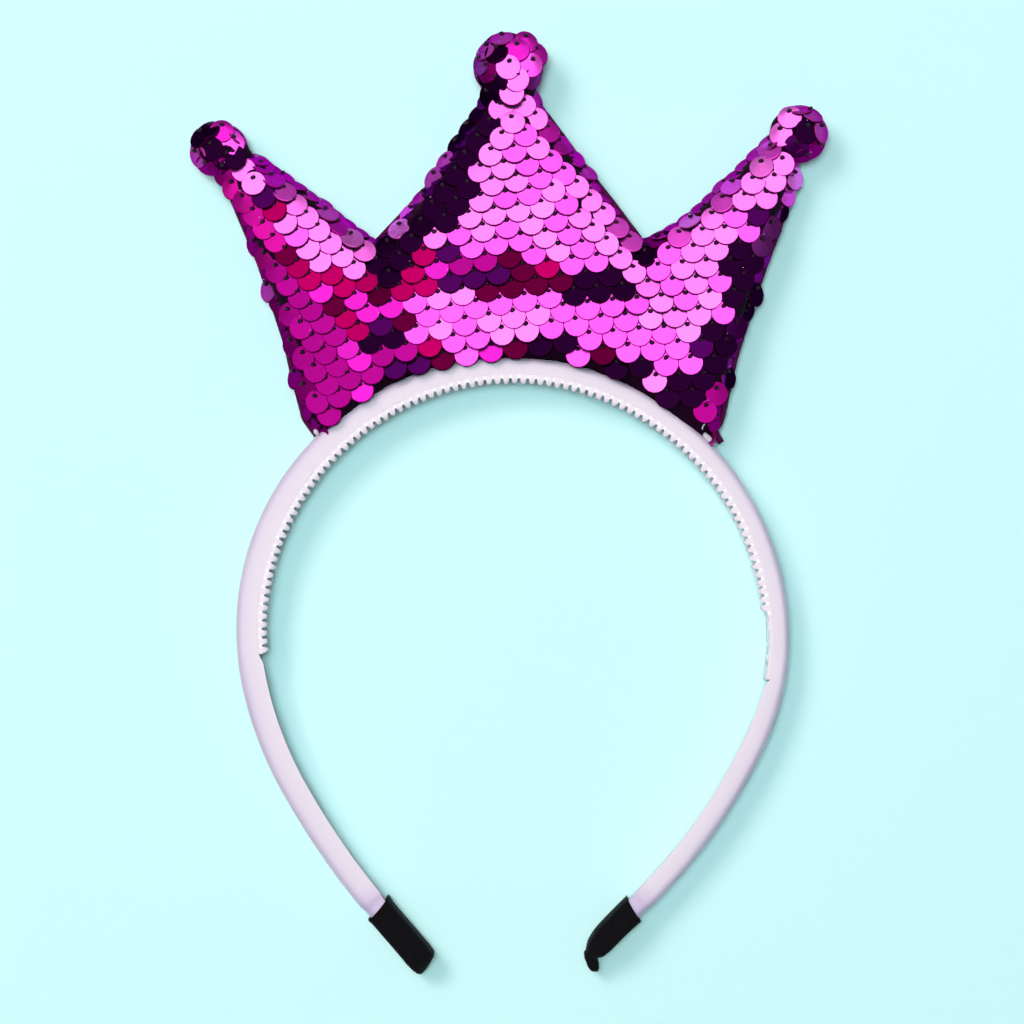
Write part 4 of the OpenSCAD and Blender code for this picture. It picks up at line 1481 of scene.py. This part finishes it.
def ball_rows(row, size, top, ring):
    """The sequins of a ball: those on its top as its table says, then rings of them round it. A disc
    lies square to the ball's radius, and the open ones on top are turned further up."""
    radius = size / 2
    bend = SEQUIN_R**2 / (2 * radius)
    middle = np.array([*outline_points()[row], max(SEAM_Z, radius)])
    flat = np.array([entry[:2] for entry in top])
    names = np.array([entry[2] for entry in top], object)
    reach = np.linalg.norm(flat, axis=1, keepdims=True)
    flat = flat * np.minimum(1, TOP_REACH * radius / np.maximum(reach, 0.1))
    high = np.sqrt(np.maximum(radius**2 - (flat**2).sum(1), 0.5))
    flat = as_seen(middle[:2] + flat, middle[2] + high) - middle[:2]
    direction = unit(lifted(flat, high))
    place = middle + direction * (radius + 0.25)
    opened = np.array([name in ("bright", "pale", "hot") for name in names])
    direction = unit(direction + opened[:, None] * np.array([0, 0, 0.9]))
    groups = [batch(place, direction, (0.0, 1.0, 0.0), names, 4.0, bend * 0.8)]
    for elevation, inset in BALL_RINGS:
        level = math.radians(elevation)
        number = round(2 * math.pi * radius * math.cos(level) / RING_STEP)
        turn = (np.arange(number) + (0.5 if elevation == 0 else 0.0)) * 2 * math.pi / number
        around = np.stack([np.cos(turn), np.sin(turn)], 1)
        direction = lifted(math.cos(level) * around, math.sin(level))
        place = middle + direction * (radius - inset)
        rim = to_line(place[:, :2], ring)[0] < 1.0
        clear = ~inside(place[:, :2], ring) | rim | (elevation > 20)
        place, direction = place[clear], direction[clear]
        # Painted reflection: ring discs that face left take the violet tint, those that face right the
        # hot one.
        sides = np.where(direction[:, 0] < 0, "violet", "hot").astype(object)
        names = np.where(rng.random(len(place)) < 0.35, "plum", sides)
        groups.append(batch(place, direction, (0.0, 0.0, -1.0), names, 2.0, bend))
    return groups


def sequins(cushion):
    """All the sequins, a little uneven in lean, turn, bend and tint, with a stitch on each that faces
    up far enough, and a near-white knot, a painted glint, beyond the upper edge of some of those."""
    ring = crown_ring()
    groups = [front_rows(cushion, ring)]
    for line in free_edges():
        groups.append(edge_row(cushion, ring, line))
    for (row, size), top in zip(BALLS, BALL_SEQUINS):
        groups += ball_rows(row, size, top, ring)
    place, normal, up, names, tilt, bend = (np.concatenate([g[k] for g in groups]) for k in range(6))
    count = len(place)
    tilt = np.radians(tilt + rng.normal(0, 1.6, count))
    spin = np.radians(rng.normal(0, 5, count))
    normal = unit(normal + rng.normal(0, 0.022, (count, 3)))
    across, up, out = disc_frames(normal, up, tilt, spin)
    bend = bend + rng.uniform(-0.08, 0.08, count)
    tints = np.array([TINTS[n] for n in names])
    tints = np.clip(tints * rng.normal(1.0, 0.07, (count, 1)), 0, 1)
    discs = sequin_mesh(place, across, up, out, bend, tints)
    raised = out[:, 2] > RAISED
    stitches = stitch_mesh(place[raised], across[raised], up[raised], out[raised])
    chosen = (rng.random(count) < GLINT_KNOT_SHARE) & raised
    aside = rng.uniform(-0.5, 0.5, (chosen.sum(), 1))
    knots = place[chosen] + up[chosen] * 2.35 + out[chosen] * 0.25 + across[chosen] * aside
    return [discs, stitches, glint_knot_mesh(knots, rng.uniform(0.10, 0.17, chosen.sum()))]


def crown_seam():
    """The turned seam: a low ridge along each free edge of the crown, just above the table side."""
    ring = crown_ring()
    parts = []
    for k, line in enumerate(free_edges()):
        points = evenly_along(line, 1.6)
        wobble = 0.10 * ripple(np.arange(len(points)) * 0.9, 0, 20 + k)
        route = lifted(points - outward_of(points, ring) * 1.15, SEAM_Z - 1.1 + wobble)
        parts.append(strand(f"seam_{k}", route, [0.45, 0.55, 0.5, 0.55, 0.45], 8, len(points) * 3, 1.5))
    return covered(joined("crown_seam", parts), seam_finish())


# Routes of the set glue. Each is a list of points and the radii along it.
GLUE_RIGHT = (
    (
        ((41.2, 15.6, 9.0), (42.2, 14.4, 8.7), (43.3, 13.2, 7.9), (44.0, 12.6, 7.0)),
        (0.25, 0.62, 0.85, 0.4),
    ),
    (
        ((42.2, 17.3, 10.4), (41.6, 16.6, 10.5), (41.4, 15.8, 10.1), (41.8, 14.9, 9.3)),
        (0.12, 0.17, 0.18, 0.3),
    ),
    (
        ((40.1, 18.1, 10.4), (40.3, 17.2, 10.2), (40.8, 16.2, 9.7), (41.1, 15.6, 9.2)),
        (0.2, 0.28, 0.22, 0.3),
    ),
    (
        ((36.9, 19.2, 9.5), (38.2, 18.3, 9.8), (39.6, 17.2, 9.7), (41.3, 15.4, 9.2)),
        (0.12, 0.3, 0.2, 0.35),
    ),
)
GLUE_LEFT = ((((-41.2, 15.7, 9.2), (-40.9, 15.2, 9.4), (-40.5, 14.6, 9.0)), (0.3, 0.55, 0.35)),)


def set_glue(name, routes):
    """Strands of set glue joined into one piece."""
    parts = [strand(f"{name}_{k}", route, radii) for k, (route, radii) in enumerate(routes)]
    return covered(joined(name, parts), GLUE)


RIBBON = ribbon_finish()
GLUE = glue_finish()
band = satin_band()
comb = comb_strip()
ribbon_left = sleeve("ribbon_sleeve_left", -1, LEFT_SLEEVE, 0.25, 5)
ribbon_right = sleeve("ribbon_sleeve_right", 1, RIGHT_SLEEVE, 0.15, 9)
cushion = crown_cushion()
decoration = [crown_seam(), *sequins(Cushion(cushion))]
right_glue = set_glue("set_glue_right", GLUE_RIGHT)
left_glue = set_glue("set_glue_left", GLUE_LEFT)

for piece, node, slot in (
    (band, "band", "band"),
    (comb, "comb_strip", "comb"),
    (ribbon_left, "sleeve_left", "ribbon"),
    (ribbon_right, "sleeve_right", "ribbon"),
    (cushion, "crown", "crown"),
    (right_glue, "glue_right", "glue"),
    (left_glue, "glue_left", "glue"),
):
    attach(piece, "root")
    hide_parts(node)
for piece in decoration:
    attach(piece, "root")


def floor_finish():
    """Plain pale surface."""
    f = Finish("pale_surface")
    f.set(Base_Color=(0.462, 0.728, 0.733, 1.0), Roughness=0.75, Specular_IOR_Level=0.2)
    return f.material


def soft_light(name, place, size, strength, colour):
    """A soft square light, level when it hangs overhead and turned to the piece otherwise."""
    data = bpy.data.lights.new(name, "AREA")
    data.size = size
    data.energy = strength
    data.color = colour
    lamp = placed(name, data)
    lamp.location = place
    if abs(place[0]) > 0.5:
        lamp.rotation_euler = (-Vector(place)).to_track_quat("-Z", "Y").to_euler()
    return lamp


floor = write_mesh(
    "pale_surface",
    np.array([[-3000, -3000, -0.1], [3000, -3000, -0.1], [3000, 3000, -0.1], [-3000, 3000, -0.1]]),
    np.array([[0, 1, 2, 3]]),
)
floor.data.materials.append(floor_finish())
for name, size, strength, height in (("ceiling", 6.0, 162.0, 2.2), ("far_ceiling", 30.0, 1150.0, 2.4)):
    panel = soft_light(name, (-0.15, 0.40, height), size, strength, (1.0, 1.0, 1.0))
    panel.visible_diffuse = False
overhead = soft_light("overhead", (-0.10, 0.12, 2.10), 0.5, 37.5, (0.86, 1.0, 1.0))
overhead.visible_glossy = False
key = soft_light("key", (-1.00, 0.95, 1.90), 0.9, 38.5, (1.0, 0.76, 0.76))
key.visible_glossy = False

world = bpy.data.worlds.new("studio")
world.use_nodes = True
bpy.context.scene.world = world
backdrop = world.node_tree.nodes["Background"]
backdrop.inputs[0].default_value = (0.95, 0.92, 1.0, 1.0)
backdrop.inputs[1].default_value = 0.10
bpy.context.scene.view_settings.view_transform = "Standard"
